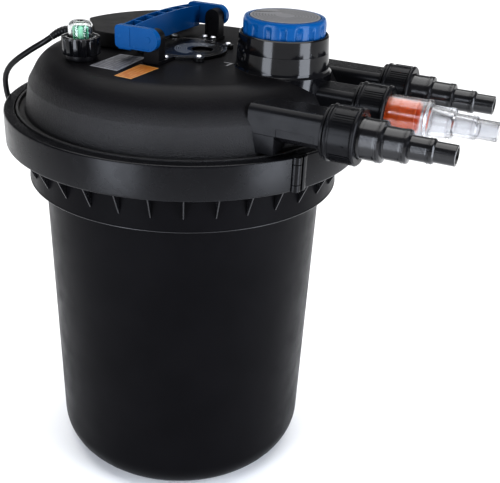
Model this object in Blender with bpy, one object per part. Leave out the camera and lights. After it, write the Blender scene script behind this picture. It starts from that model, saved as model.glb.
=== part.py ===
"""Pressurized pond filter: bucket, clamped lid with three hose connections, selector valve, folding handle.

Metres, +Z up. The origin is the centre of the bucket's base, on the floor. The hose connections point to +X.
"""
import math

import bmesh
import bpy
from mathutils import Matrix, Vector

MM = 0.001
GAP = 0.3                     # clearance between neighbouring pieces, mm

# Driving dimensions, in mm.
RING_R = 190.0                # outside of the clamp ring
RING_TOP, RING_BOTTOM = 423.1, 388.3
LID_TOP = 479.4               # flat top of the lid
LID_FLAT_R = 128.0            # where the flat top starts to round over
DOME_FOOT_R = 167.8
WALL = 4.0
BASE_FLAT_R, CORNER_R = 107.6, 38.7
BUCKET_TOP_R = 152.4
COLLAR_R, COLLAR_LOW = 167.8, 347.0
RIM_TOP = 401.0
RIB_COUNT = 32

PORT_Z, PORT_PITCH = 450.8, 84.3
PORT_FACE_X = 196.0           # where the union nuts start
NUT_LENGTH, NUT_R = 29.1, 26.4
STEP_R = (18.8, 15.0, 11.0, 9.4)
STEP_LENGTH = (22.5, 21.7, 19.5)
BLACK_FIRST_STEP, CLEAR_FIRST_STEP = 50.6, 70.0

VALVE_X = 110.0
DUCT_X, DUCT_BORE = 99.0, 10.0
TURRET_R, TURRET_TOP, CHAMBER_R = 45.6, 497.0, 40.0
KNOB_R, KNOB_TOP, KNOB_FLUTES = 41.0, 529.0, 17

PIVOT_Z = 504.0               # hinge line of the handle, along Y above the centre of the lid
POST_IN, POST_OUT, POST_HALF = 57.5, 70.0, 8.5
ARM_IN, ARM_OUT = 70.3, 77.3
GRIP_BACK, GRIP_FRONT = -37.0, -23.0

COVER_R = 43.0
COVER_HOLE_X, COVER_HOLE_R = 19.0, 11.0
SCREW_CIRCLE_R = 46.5

INDICATOR_XY = (-67.5, -91.0)
HOUSING_TOP = 496.0
HOUSING_R, HOUSING_START, HOUSING_END = 126.5, 176.7, 120.0      # rim of the raised housing, degrees round Z
HOUSING_CORNER = Vector((-86.0, -42.0, 0.0))
HOUSING_LEFT = Vector((HOUSING_R * math.cos(math.radians(HOUSING_START)),
                       HOUSING_R * math.sin(math.radians(HOUSING_START)), 0.0))
HOUSING_EDGE = HOUSING_LEFT - HOUSING_CORNER
GLAND_FOOT = HOUSING_CORNER + HOUSING_EDGE * 0.45 + Vector((0.0, 0.0, 490.0))
GLAND_DIRECTION = Vector((-HOUSING_EDGE.y, HOUSING_EDGE.x, 0.0)).normalized()

CORD_R = 3.1
COIL_CENTRE = Vector((-96.0, 196.0, 0.0))
COIL_MEAN_R, COIL_WIDTH, COIL_HEIGHT = 37.2, 32.2, 25.2

HINGE_ANGLE = -28.0           # hinge of the clamp ring, degrees round Z
CLOSURE_ANGLE = HINGE_ANGLE + 180.0

# Turns an outline in X, Y and its height so that it lies in Y, Z with its height along X.
ACROSS = Matrix(((0, 0, 1, 0), (1, 0, 0, 0), (0, 1, 0, 0), (0, 0, 0, 1)))


# ---------------------------------------------------------------- helpers

def clear_scene():
    for obj in list(bpy.data.objects):
        bpy.data.objects.remove(obj, do_unlink=True)


def material(name, colour, roughness, metallic=0.0, alpha=1.0):
    mat = bpy.data.materials.get(name) or bpy.data.materials.new(name)
    mat.use_nodes = True
    shader = mat.node_tree.nodes["Principled BSDF"]
    shader.inputs["Base Color"].default_value = (*colour, 1.0)
    shader.inputs["Roughness"].default_value = roughness
    shader.inputs["Metallic"].default_value = metallic
    shader.inputs["Alpha"].default_value = alpha
    return mat


def black_satin(name):
    return material(name, (0.018, 0.018, 0.021), 0.45)


def black_gloss(name):
    return material(name, (0.012, 0.012, 0.014), 0.15)


def blue(name):
    return material(name, (0.0, 0.09, 0.36), 0.35)


def steel(name):
    return material(name, (0.8, 0.8, 0.82), 0.18, 1.0)


def rubber(name):
    return material(name, (0.02, 0.02, 0.02), 0.8)


def natural_plastic(name):
    return material(name, (0.1, 0.1, 0.11), 0.5)


def add_mesh(bm, name, mat, origin=(0.0, 0.0, 0.0)):
    """Turn a bmesh in millimetres into an object in metres whose own origin is at origin."""
    bmesh.ops.recalc_face_normals(bm, faces=bm.faces)
    origin = Vector(origin)
    bmesh.ops.transform(bm, matrix=Matrix.Scale(MM, 4) @ Matrix.Translation(-origin), verts=bm.verts)
    mesh = bpy.data.meshes.new(name)
    bm.to_mesh(mesh)
    bm.free()
    mesh.shade_smooth()
    mesh.set_sharp_from_angle(angle=math.radians(32.0))
    obj = bpy.data.objects.new(name, mesh)
    obj.location = origin * MM
    bpy.context.scene.collection.objects.link(obj)
    mesh.materials.append(mat)
    return obj


def arc(centre_r, centre_z, radius, start, end, parts):
    """Points on an arc of a turned outline, angles in degrees."""
    angles = [math.radians(start + (end - start) * i / parts) for i in range(parts + 1)]
    return [(centre_r + radius * math.cos(a), centre_z + radius * math.sin(a)) for a in angles]


def spin_outline(bm, outline, steps, sweep=360.0):
    """Sweep an (r, z) outline round Z. It is closed, or it starts and ends on the axis."""
    verts = [bm.verts.new((r, 0.0, z)) for r, z in outline]
    on_axis = outline[0][0] == 0.0 and outline[-1][0] == 0.0
    last = len(verts) - 1 if on_axis else len(verts)
    edges = [bm.edges.new((verts[i], verts[(i + 1) % len(verts)])) for i in range(last)]
    full = sweep >= 360.0
    bmesh.ops.spin(bm, geom=verts + edges, cent=(0, 0, 0), axis=(0, 0, 1), dvec=(0, 0, 0),
                   angle=math.radians(sweep), steps=steps, use_merge=full, use_duplicate=False)
    bmesh.ops.remove_doubles(bm, verts=bm.verts, dist=1e-4)
    if not full:
        bmesh.ops.holes_fill(bm, edges=[e for e in bm.edges if e.is_boundary], sides=0)


def along(direction):
    """Rotation that takes +Z to the given direction."""
    return Vector(direction).to_track_quat("Z", "Y").to_matrix().to_4x4()


def turned(name, outline, mat, steps=32, at=(0, 0, 0), direction=(0, 0, 1)):
    """A turned piece: the outline's z runs along direction from at, which is also the object's origin."""
    bm = bmesh.new()
    spin_outline(bm, outline, steps)
    bmesh.ops.transform(bm, matrix=Matrix.Translation(Vector(at)) @ along(direction), verts=bm.verts)
    return add_mesh(bm, name, mat, at)


def rod_outline(radius, start, end):
    return [(0.0, start), (radius, start), (radius, end), (0.0, end)]


def tube_outline(inner, outer, start, end):
    return [(inner, start), (outer, start), (outer, end), (inner, end)]


def prism(name, outline, low, high, mat, origin=(0, 0, 0), turn=None):
    """An extruded outline in X and Y from z low to z high, then turned by a matrix."""
    bm = bmesh.new()
    face = bm.faces.new([bm.verts.new((x, y, low)) for x, y in outline])
    grown = bmesh.ops.extrude_face_region(bm, geom=[face])
    lifted = [v for v in grown["geom"] if isinstance(v, bmesh.types.BMVert)]
    bmesh.ops.translate(bm, vec=(0, 0, high - low), verts=lifted)
    if turn is not None:
        bmesh.ops.transform(bm, matrix=turn, verts=bm.verts)
    return add_mesh(bm, name, mat, origin)


def box(name, low, high, mat, origin=(0, 0, 0)):
    outline = [(low[0], low[1]), (high[0], low[1]), (high[0], high[1]), (low[0], high[1])]
    return prism(name, outline, low[2], high[2], mat, origin)


def combine(obj, other, operation):
    """Join a helper to an object, or cut it away, and keep the helper out of the model."""
    other.hide_render = True
    other.display_type = "WIRE"
    modifier = obj.modifiers.new(other.name, "BOOLEAN")
    modifier.operation = operation
    modifier.object = other
    modifier.solver = "EXACT"
    return obj


def cut(obj, other):
    return combine(obj, other, "DIFFERENCE")


def join(obj, other):
    return combine(obj, other, "UNION")


def rods(name, radius, start, end, places, direction=(0, 0, 1), steps=12):
    """Several equal rods in one helper, each along direction from its own place."""
    bm = bmesh.new()
    for place in places:
        part = bmesh.new()
        spin_outline(part, rod_outline(radius, start, end), steps)
        turn = Matrix.Translation(Vector(place)) @ along(direction)
        bmesh.ops.transform(part, matrix=turn, verts=part.verts)
        copy = bpy.data.meshes.new("part")
        part.to_mesh(copy)
        part.free()
        bm.from_mesh(copy)
        bpy.data.meshes.remove(copy)
    return add_mesh(bm, name, black_satin("helper"))


def blocks(name, boxes):
    """Several boxes in one helper."""
    bm = bmesh.new()
    for low, high in boxes:
        size = Vector(high) - Vector(low)
        middle = (Vector(high) + Vector(low)) / 2
        scale = Matrix.Diagonal((*size, 1.0))
        bmesh.ops.create_cube(bm, size=1.0, matrix=Matrix.Translation(middle) @ scale)
    return add_mesh(bm, name, black_satin("helper"))


def fluted_circle(radius, depth, count, points=4):
    """A circle with shallow scallops cut into it."""
    outline = []
    for i in range(count * points):
        phase = (i % points) / points
        dent = depth if phase >= 0.5 else 0.0
        angle = 2 * math.pi * i / (count * points)
        outline.append(((radius - dent) * math.cos(angle), (radius - dent) * math.sin(angle)))
    return outline


def shifted(outline, offset):
    return [(x + offset[0], y + offset[1]) for x, y in outline]


def polar(radius, degrees, z):
    angle = math.radians(degrees)
    return Vector((radius * math.cos(angle), radius * math.sin(angle), z))


# ---------------------------------------------------------------- vessel

def bucket():
    outer_corner = arc(BASE_FLAT_R, CORNER_R, CORNER_R, -90, 0, 4)
    inner_corner = arc(BASE_FLAT_R, CORNER_R, CORNER_R - WALL, 0, -90, 2)
    skirt_roof = 380.0
    outline = [(0.0, 0.0)] + outer_corner + [
        (BUCKET_TOP_R, skirt_roof),
        (COLLAR_R - 3.5, skirt_roof),
        (COLLAR_R - 3.5, COLLAR_LOW),
        (COLLAR_R - 1.2, COLLAR_LOW),
        (COLLAR_R, COLLAR_LOW + 1.5),
        (COLLAR_R, 393.5),
        (181.0, 395.5),
        (181.0, RIM_TOP),
        (148.6, RIM_TOP),
    ] + inner_corner + [(0.0, WALL)]
    body = turned("bucket", outline, black_satin("bucket_plastic"), 40)
    return join(body, gusset_ribs())


def gusset_ribs():
    """Thin upright webs between the collar and the underside of the clamp ring."""
    bm = bmesh.new()
    half, low, high = 1.2, 373.0, RING_BOTTOM - GAP
    inner, outer = COLLAR_R - 2.0, 184.0
    for i in range(RIB_COUNT):
        turn = Matrix.Rotation(math.radians(HINGE_ANGLE - 1.0 + i * 360.0 / RIB_COUNT), 4, "Z")
        side = [(inner, low), (COLLAR_R + 1.0, low), (outer, high), (inner, high)]
        near = [bm.verts.new(turn @ Vector((r, -half, z))) for r, z in side]
        far = [bm.verts.new(turn @ Vector((r, half, z))) for r, z in side]
        bm.faces.new(near)
        bm.faces.new(far[::-1])
        for k in range(4):
            bm.faces.new((near[k], far[k], far[(k + 1) % 4], near[(k + 1) % 4]))
    return add_mesh(bm, "gusset_ribs", black_satin("helper"))


def ring_half(name, start):
    """Half of the C-shaped clamp ring, which grips the bucket's rim and the lid's flange."""
    web, lip_in_low, lip_in_top = 184.5, 170.0, 179.0
    outline = [
        (lip_in_low, RING_BOTTOM), (RING_R - 1.5, RING_BOTTOM), (RING_R, RING_BOTTOM + 1.5),
        (RING_R, RING_TOP - 2.0), (RING_R - 2.0, RING_TOP), (lip_in_top, RING_TOP),
        (lip_in_top, RING_TOP - 4.3), (web, RING_TOP - 4.3), (web, RING_BOTTOM + 4.4),
        (lip_in_low, RING_BOTTOM + 4.4),
    ]
    bm = bmesh.new()
    margin = 1.8
    spin_outline(bm, outline, 20, 180.0 - 2 * margin)
    bmesh.ops.rotate(bm, matrix=Matrix.Rotation(math.radians(start + margin), 3, "Z"), verts=bm.verts)
    return add_mesh(bm, name, black_satin("ring_plastic"))


def tangential(degrees):
    """Rotation round Z that takes +X outward and +Y along the ring at an angle."""
    return Matrix.Rotation(math.radians(degrees), 4, "Z")


def clamp_ring():
    front = ring_half("clamp_ring_front", CLOSURE_ANGLE)
    back = ring_half("clamp_ring_back", HINGE_ANGLE)
    pin_at = polar(RING_R - 0.5, HINGE_ANGLE, 0.0)
    middle = 10.0
    centre_z = (RING_TOP + RING_BOTTOM) / 2
    barrels = {
        front: [(RING_BOTTOM, centre_z - middle - GAP), (centre_z + middle + GAP, RING_TOP)],
        back: [(centre_z - middle, centre_z + middle)],
    }
    for half, spans in barrels.items():
        side = -1 if half is front else 1
        for number, (low, high) in enumerate(spans):
            label = f"{half.name}_knuckle_{number}"
            join(half, turned(label, rod_outline(5.2, low, high), black_satin("helper"), 12, pin_at))
            plan = [(184.8, 0.0), (190.0, 0.0), (190.0, side * 9.0), (184.8, side * 9.0)]
            turn = tangential(HINGE_ANGLE)
            join(half, prism(f"{label}_arm", plan, low, high, black_satin("helper"), (0, 0, 0), turn))
        bore = rod_outline(2.1, 380.0, 430.0)
        cut(half, turned(f"{half.name}_pin_bore", bore, black_satin("helper"), 8, pin_at))
    pin = rod_outline(1.8, RING_BOTTOM + 0.5, RING_TOP - 0.5)
    turned("clamp_hinge_pin", pin, steel("pin_steel"), 8, pin_at)
    for half, side in ((front, 1), (back, -1)):
        plan = [(184.8, side * 1.0), (207.0, side * 1.0), (207.0, side * 9.0), (184.8, side * 9.0)]
        turn = tangential(CLOSURE_ANGLE)
        join(half, prism(f"{half.name}_lug", plan, 397.0, 415.0, black_satin("helper"), (0, 0, 0), turn))
        hole = turned(f"{half.name}_bolt_hole", rod_outline(3.3, -30, 30), black_satin("helper"), 8,
                      polar(198.0, CLOSURE_ANGLE, 406.0), polar(1.0, CLOSURE_ANGLE + 90, 0))
        cut(half, hole)
    closure()


def closure():
    """Bolt and wing nut that pull the two lugs of the clamp ring together."""
    at = polar(198.0, CLOSURE_ANGLE, 406.0)
    direction = polar(1.0, CLOSURE_ANGLE + 90, 0)
    bolt = [(0.0, -13.5), (5.5, -13.5), (5.5, -9.3), (3.0, -9.3), (3.0, 19.0), (0.0, 19.0)]
    turned("clamp_bolt", bolt, steel("bolt_steel"), 8, at, direction)
    nut = turned("clamp_wing_nut", tube_outline(3.3, 6.5, 9.3, 15.5), black_satin("wing_nut_plastic"), 10,
                 at, direction)
    pair = [((-1.6, -14.0, 10.0), (1.6, -5.0, 19.0)), ((-1.6, 5.0, 10.0), (1.6, 14.0, 19.0))]
    wings = blocks("clamp_wings", pair)
    wings.matrix_world = Matrix.Translation(at * MM) @ along(direction)
    join(nut, wings)


def lid_outline():
    """Section of the lid, from the centre bore out over the dome, round the flange and back inside."""
    shoulder = arc(LID_FLAT_R, LID_TOP - 32.0, 32.0, 90, 25, 4)
    inner_shoulder = arc(LID_FLAT_R - 1.0, LID_TOP - 31.5, 27.5, 30, 90, 2)
    return [
        (30.0, LID_TOP - 10.5), (30.0, LID_TOP - 2.5), (42.3, LID_TOP - 2.5), (42.3, LID_TOP),
    ] + shoulder + [
        (163.2, 450.0), (DOME_FOOT_R, 424.6), (168.4, 419.5), (174.3, 419.5), (174.7, 423.8), (177.4, 423.8),
        (178.4, 418.2), (182.4, 417.9), (183.3, 416.5), (183.3, 404.0), (147.3, 404.0), (147.3, 386.0),
        (144.0, 386.0), (144.0, 409.5), (163.0, 411.0), (163.4, 424.0), (159.2, 450.0),
    ] + inner_shoulder + [(58.0, LID_TOP - WALL), (58.0, LID_TOP - 10.5)]


def lid():
    body = turned("lid", lid_outline(), black_satin("lid_plastic"), 36)
    plain = black_satin("helper")
    turret = [(36.0, 430.0), (TURRET_R - 1.6, 430.0), (TURRET_R + 0.4, 470.0), (TURRET_R, TURRET_TOP),
              (CHAMBER_R, TURRET_TOP), (CHAMBER_R, 434.0), (36.0, 434.0)]
    join(body, turned("lid_turret", turret, plain, 32, (VALVE_X, 0, 0)))
    stub = [(0.0, -8.0), (18.4, -8.0), (24.6, -3.2), (24.6, -GAP), (20.3, -GAP), (20.3, 17.0), (0.0, 17.0)]
    for side, label in ((-1, "front"), (0, "middle"), (1, "back")):
        start = 152.5 if side == 0 else 122.0
        join(body, port_housing(f"lid_port_{label}", side * PORT_PITCH, start))
        at = (PORT_FACE_X, side * PORT_PITCH, PORT_Z)
        join(body, turned(f"lid_stub_{label}", stub, plain, 20, at, (1, 0, 0)))
    for side, label in ((-1, "front"), (1, "back")):
        low_y, high_y = side * PORT_PITCH - 19.6, side * PORT_PITCH + 19.6
        foot = box(f"lid_block_{label}", (124.3, low_y, RING_TOP + 1.4), (149.0, high_y, PORT_Z + 3.7), plain)
        join(body, foot)
    chamber = rod_outline(CHAMBER_R - 0.4, 440.0, 492.0)
    cut(body, turned("lid_chamber", chamber, plain, 30, (VALVE_X, 0, 0)))
    side_ports = [(0.0, side * PORT_PITCH, PORT_Z) for side in (-1, 1)]
    cut(body, rods("lid_side_bores", 15.4, 100.0, 230.0, side_ports, (1, 0, 0), 14))
    cut(body, rods("lid_middle_bore", 15.4, 140.0, 230.0, [(0.0, 0.0, PORT_Z)], (1, 0, 0), 14))
    cut(body, rods("lid_side_windows", DUCT_BORE, -60.0, 60.0, [(DUCT_X, 0.0, PORT_Z)], (0, 1, 0), 14))
    cut(body, rods("lid_screw_holes", 2.1, LID_TOP - 8.0, LID_TOP + 5.0, screw_places(), (0, 0, 1), 6))
    return body


def port_housing(name, y, start):
    """Flat-sided box with rounded top edges, over the round pipe of a hose connection."""
    half, low, high, corner = 20.0, PORT_Z - 8.0, PORT_Z + 18.0, 8.0
    outline = arc(half - corner, high - corner, corner, 0, 90, 3)
    outline += arc(corner - half, high - corner, corner, 90, 180, 3) + [(-half, low), (half, low)]
    turn = Matrix.Translation((0, y, 0)) @ ACROSS
    body = prism(name, outline, start, PORT_FACE_X - 3.0, black_satin("helper"), (0, 0, 0), turn)
    pipe = rod_outline(17.6, start + 1.1, PORT_FACE_X - 3.5)
    return join(body, turned(f"{name}_pipe", pipe, black_satin("helper"), 18, (0, y, PORT_Z), (1, 0, 0)))


def side_duct(name, side):
    """Elbow inside the lid from the valve chamber's side window to an outer hose connection."""
    half = DUCT_BORE + 2.5
    ys = sorted((side * (TURRET_R + 1.2), side * (PORT_PITCH + half)))
    duct = box(name, (DUCT_X - half, ys[0], PORT_Z - half), (DUCT_X + half, ys[1], PORT_Z + half),
               natural_plastic("duct_plastic"))
    outlet = [(0, side * PORT_PITCH, PORT_Z)]
    join(duct, rods(f"{name}_outlet", DUCT_BORE + 1.5, DUCT_X + half - 2.0, 121.7, outlet, (1, 0, 0), 12))
    cut(duct, rods(f"{name}_cross_bore", DUCT_BORE, 0.0, PORT_PITCH, [(DUCT_X, 0, PORT_Z)], (0, side, 0), 14))
    cut(duct, rods(f"{name}_port_bore", DUCT_BORE - 0.5, DUCT_X, 130.0, outlet, (1, 0, 0), 14))
    return duct


def lid_gasket():
    section = tube_outline(152.0, 180.0, RIM_TOP + GAP, 404.0 - GAP)
    return turned("lid_gasket", section, rubber("gasket_rubber"), 40)


# ---------------------------------------------------------------- handle and centre cover

COVER_SCREWS = (45.0, 135.0, 225.0, 315.0)
POST_SCREWS = ((5.0, 51.5), (-5.0, 51.5), (5.0, -51.5), (-5.0, -51.5))
PLATE_TOP = LID_TOP + GAP + 3.4
BOSS_TOP = PLATE_TOP + 0.6


def screw_places():
    cover = [polar(SCREW_CIRCLE_R, a, 0.0) for a in COVER_SCREWS]
    return cover + [Vector((x, y, 0.0)) for x, y in POST_SCREWS]


def centre_cover():
    low, above = LID_TOP + GAP, PLATE_TOP + 5.0
    outline = [(0.0, low), (COVER_R, low), (COVER_R, PLATE_TOP - 1.0), (COVER_R - 1.0, PLATE_TOP)]
    outline += [(0.0, PLATE_TOP)]
    cover = turned("centre_cover", outline, black_gloss("cover_plastic"), 24)
    places = [polar(SCREW_CIRCLE_R, angle, 0.0) for angle in COVER_SCREWS]
    join(cover, rods("cover_bosses", 6.0, low, BOSS_TOP, places, (0, 0, 1), 10))
    cut(cover, rods("cover_hole", COVER_HOLE_R, low - 5.0, above, [(COVER_HOLE_X, 0, 0)], (0, 0, 1), 16))
    cut(cover, rods("cover_screw_holes", 2.1, low - 5.0, above, places, (0, 0, 1), 6))
    return cover


def screw(name, place, seat):
    tip = LID_TOP - 7.0
    outline = [(0.0, tip), (1.5, tip), (1.5, seat), (3.4, seat), (3.0, seat + 1.6), (0.0, seat + 2.2)]
    return turned(name, outline, steel("screw_steel"), 8, place)


def screws():
    for number, angle in enumerate(COVER_SCREWS, 1):
        screw(f"cover_screw_{number}", polar(SCREW_CIRCLE_R, angle, 0.0), BOSS_TOP + GAP)
    for number, (x, y) in enumerate(POST_SCREWS, 1):
        screw(f"post_screw_{number}", Vector((x, y, 0.0)), PLATE_TOP + GAP)


def upright_turn(y):
    """Takes an outline's X, Y to the row's X, Z, and its height to Y, starting at y."""
    return Matrix.Translation((0, y, 0)) @ Matrix(((1, 0, 0, 0), (0, 0, 1, 0), (0, 1, 0, 0), (0, 0, 0, 1)))


def handle_post(name, side):
    """Tombstone that carries one end of the handle, on a foot with two screws."""
    low = LID_TOP + GAP
    tombstone = [(-POST_HALF, low), (POST_HALF, low)] + arc(0.0, PIVOT_Z, POST_HALF, 0, 180, 8)
    start = POST_IN if side > 0 else -POST_OUT
    thickness = POST_OUT - POST_IN
    post = prism(name, tombstone, 0.0, thickness, black_satin("post_plastic"), (0, 0, 0), upright_turn(start))
    ys = sorted((side * (COVER_R + 0.6), side * (POST_OUT - 0.5)))
    join(post, box(f"{name}_foot", (-10.0, ys[0], low), (10.0, ys[1], PLATE_TOP), black_satin("helper")))
    holes = [place for place in screw_places() if abs(place.x) < 6.0 and place.y * side > 0]
    cut(post, rods(f"{name}_holes", 2.1, low - 5.0, PLATE_TOP + 5.0, holes, (0, 0, 1), 6))
    pivot = [(0, 0, PIVOT_Z)]
    cut(post, rods(f"{name}_pin_hole", 3.8, POST_IN + 3.0, POST_OUT + 5.0, pivot, (0, side, 0), 12))
    return post


def pivot_pin(name, side):
    outline = rod_outline(3.5, POST_IN + 3.0 + GAP, ARM_OUT - 2.5 - GAP)
    return turned(name, outline, steel("pin_steel"), 12, (0, 0, PIVOT_Z), (0, side, 0))


def bail_handle():
    """Folding handle in one moulding: two arms on the pivots and a ribbed, pocketed grip between them."""
    origin = (0, 0, PIVOT_Z)
    rise = 3.0
    end = ARM_IN + 1.0
    top = [(y, 512.0 + rise * (1 - (y / ARM_IN) ** 2)) for y in (-end, -45, -22, 0, 22, 45, end)]
    low = [(y, 490.0 + 0.4 * rise * (1 - (y / ARM_IN) ** 2)) for y in (end, 35, 0, -35, -end)]
    grip = prism("bail_handle", top + low, GRIP_BACK, GRIP_FRONT, blue("handle_plastic"), origin, ACROSS)
    for side, label in ((-1, "near"), (1, "far")):
        outline = arc(0.0, PIVOT_Z, 11.0, -90, 90, 10)
        outline += arc(GRIP_BACK + 4.0, PIVOT_Z + 7.0, 4.0, 90, 180, 3)
        outline += arc(GRIP_BACK + 4.0, PIVOT_Z - 7.0, 4.0, 180, 270, 3)
        turn = upright_turn(ARM_IN if side > 0 else -ARM_OUT)
        thickness = ARM_OUT - ARM_IN
        arm = prism(f"bail_arm_{label}", outline, 0.0, thickness, black_satin("helper"), (0, 0, 0), turn)
        join(grip, arm)
    length, web = 20.0, 2.4
    pockets = []
    for i in range(6):
        middle = (i - 2.5) * (length + web)
        low_corner = (GRIP_BACK + 2.6, middle - length / 2, 497.0)
        pockets.append((low_corner, (GRIP_FRONT - 2.6, middle + length / 2, 530.0)))
    cut(grip, blocks("bail_pockets", pockets))
    cut(grip, rods("bail_pin_holes", 3.8, -ARM_OUT + 2.5, ARM_OUT - 2.5, [(0, 0, PIVOT_Z)], (0, 1, 0), 12))
    return grip


# ---------------------------------------------------------------- selector valve

def valve():
    at = (VALVE_X, 0, 0)
    low = TURRET_TOP + GAP
    collar = [(13.0, low), (TURRET_R - 0.3, low), (44.3, 512.3), (43.4, 513.4), (42.2, 513.4), (42.2, 501.5),
              (13.0, 501.5)]
    turned("valve_collar", collar, black_gloss("collar_plastic"), 32, at)
    seal = tube_outline(8.0 + GAP, 13.0 - 2 * GAP, 498.0, 501.0)
    turned("valve_stem_seal", seal, rubber("seal_rubber"), 24, at)
    rotor = [(0.0, 490.0), (36.0, 490.0), (36.0, 436.0), (CHAMBER_R - 1.0, 436.0), (CHAMBER_R - 1.0, 494.0),
             (8.0, 494.0), (8.0, 519.0), (0.0, 519.0)]
    body = turned("valve_rotor", rotor, natural_plastic("rotor_plastic"), 24, at)
    cut(body, rods("rotor_outlet_window", 13.5, 20.0, 60.0, [(VALVE_X, 0, PORT_Z)], (0, 1, 0), 12))
    cut(body, rods("rotor_inlet_window", 13.5, 20.0, 60.0, [(VALVE_X, 0, PORT_Z)], (0, -1, 0), 12))
    valve_knob()


def valve_knob():
    at = Vector((VALVE_X, 0, 0))
    flutes = shifted(fluted_circle(KNOB_R, 1.3, KNOB_FLUTES), at)
    knob = prism("valve_knob", flutes, 506.0, KNOB_TOP, blue("knob_plastic"), at)
    hollow = turned("knob_hollow", tube_outline(12.0, 37.0, 500.0, 523.5), black_satin("helper"), 24, at)
    cut(knob, hollow)
    socket = rod_outline(8.0 + GAP, 500.0, 519.0 + GAP)
    cut(knob, turned("knob_stem_socket", socket, black_satin("helper"), 24, at))
    recess = rod_outline(35.0, KNOB_TOP - 1.2, 540.0)
    cut(knob, turned("knob_disc_recess", recess, black_satin("helper"), 24, at))
    turned("knob_disc", rod_outline(35.0 - GAP, KNOB_TOP - 1.2 + GAP, KNOB_TOP + 0.3),
           material("knob_disc_plastic", (0.07, 0.07, 0.075), 0.5), 24, at)


# ---------------------------------------------------------------- hose connections

SEAL_START, FLANGE_START = 17.3, 20.0


def union_nut(name, y):
    outline = [(21.3, 0.3), (25.4, 0.3), (NUT_R, 1.6), (NUT_R, NUT_LENGTH - 2.0), (25.2, NUT_LENGTH + 0.3),
               (19.2, NUT_LENGTH + 0.3), (19.2, 24.8), (21.3, 24.8)]
    return turned(name, outline, black_satin("nut_plastic"), 24, (PORT_FACE_X, y, PORT_Z), (1, 0, 0))


def hosetail(name, y, first_step, bore, mat):
    """Stepped hose connector with a flange that the union nut holds."""
    ends = [first_step]
    for length in STEP_LENGTH:
        ends.append(ends[-1] + length)
    outline = [(bore, FLANGE_START), (20.9, FLANGE_START), (20.9, 24.5)]
    outline += [(STEP_R[0], 24.5), (STEP_R[0], ends[0])]
    for radius, start, end in zip(STEP_R[1:], ends, ends[1:]):
        outline += [(radius, start + 0.8), (radius, end)]
    outline += [(7.0, ends[3]), (8.4, ends[1]), (12.0, ends[0]), (bore, ends[0] - 3.0)]
    return turned(name, outline, mat, 16, (PORT_FACE_X, y, PORT_Z), (1, 0, 0))


def hose_connections():
    clear = material("clear_plastic", (0.9, 0.93, 0.95), 0.08, 0.0, 0.35)
    for label, side in (("front", -1), ("middle", 0), ("back", 1)):
        y = side * PORT_PITCH
        union_nut(f"union_nut_{label}", y)
        seal = tube_outline(15.6, 20.0, SEAL_START, FLANGE_START - GAP)
        turned(f"hose_seal_{label}", seal, rubber("seal_rubber"), 16, (PORT_FACE_X, y, PORT_Z), (1, 0, 0))
        if side == 0:
            hosetail("hosetail_middle", y, CLEAR_FIRST_STEP, 16.2, clear)
        else:
            hosetail(f"hosetail_{label}", y, BLACK_FIRST_STEP, 15.6, black_satin("hosetail_plastic"))
    sleeve = tube_outline(13.8, 15.8, 26.5, 57.5)
    turned("sight_sleeve", sleeve, material("sleeve_plastic", (0.75, 0.05, 0.01), 0.25), 16,
           (PORT_FACE_X, 0, PORT_Z), (1, 0, 0))


# ---------------------------------------------------------------- electrics

def housing_outline(inset):
    """Plan of the raised housing at the back left of the lid, inset all round."""
    rim = arc(0.0, 0.0, HOUSING_R - inset, HOUSING_START - inset * 0.6, HOUSING_END, 9)
    right, near = -51.0 - inset, HOUSING_CORNER.y + inset
    return rim + [(right, rim[-1][1] - inset), (right, near), (HOUSING_CORNER.x + inset * 0.5, near)]


def ballast():
    low = LID_TOP + GAP
    housing = prism("ballast_housing", housing_outline(0.0), low, HOUSING_TOP, black_satin("housing_plastic"))
    roof = HOUSING_TOP - 2.6
    cut(housing, prism("housing_hollow", housing_outline(2.6), low - 5.0, roof, black_satin("helper")))
    cut(housing, rods("housing_gland_hole", 5.3, -12.0, 12.0, [GLAND_FOOT], GLAND_DIRECTION, 16))
    case = material("module_case", (0.6, 0.6, 0.6), 0.4)
    box("ballast_module", (-92.0, -20.0, low + 0.5), (-58.0, 66.0, HOUSING_TOP - 3.5), case)


def indicator():
    at = Vector((*INDICATOR_XY, 0.0))
    low = LID_TOP + GAP
    seat = [(0.0, low), (15.6, low), (15.6, 487.0), (13.4, 487.6), (13.4, 496.9), (8.2, 496.9), (8.2, 483.0),
            (0.0, 483.0)]
    turned("indicator_seat", seat, black_satin("seat_plastic"), 16, at)
    core = [(0.0, 483.4), (7.6, 483.4), (7.6, 511.0), (5.5, 512.3), (0.0, 512.8)]
    turned("indicator_core", core, material("core_plastic", (0.05, 0.6, 0.3), 0.3), 12, at)
    dome = [(0.0, 515.0)] + arc(6.8, 511.3, 3.4, 90, 0, 2) + [(10.2, 497.3), (14.2, 497.3), (14.2, 499.3)]
    dome += [(12.0, 499.3), (12.0, 509.5)] + arc(7.0, 511.5, 5.0, 0, 90, 3) + [(0.0, 516.8)]
    turned("indicator_dome", dome, material("dome_plastic", (0.9, 0.93, 0.95), 0.08, 0.0, 0.35), 16, at)
    flutes = shifted(fluted_circle(19.0, 1.4, 14), at)
    nut = prism("indicator_nut", flutes, 487.9, 502.3, black_gloss("indicator_nut_plastic"), at)
    cut(nut, turned("indicator_nut_bore", rod_outline(14.6, 480.0, 499.6), black_satin("helper"), 16, at))
    cut(nut, turned("indicator_nut_mouth", rod_outline(12.5, 490.0, 510.0), black_satin("helper"), 16, at))


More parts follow.
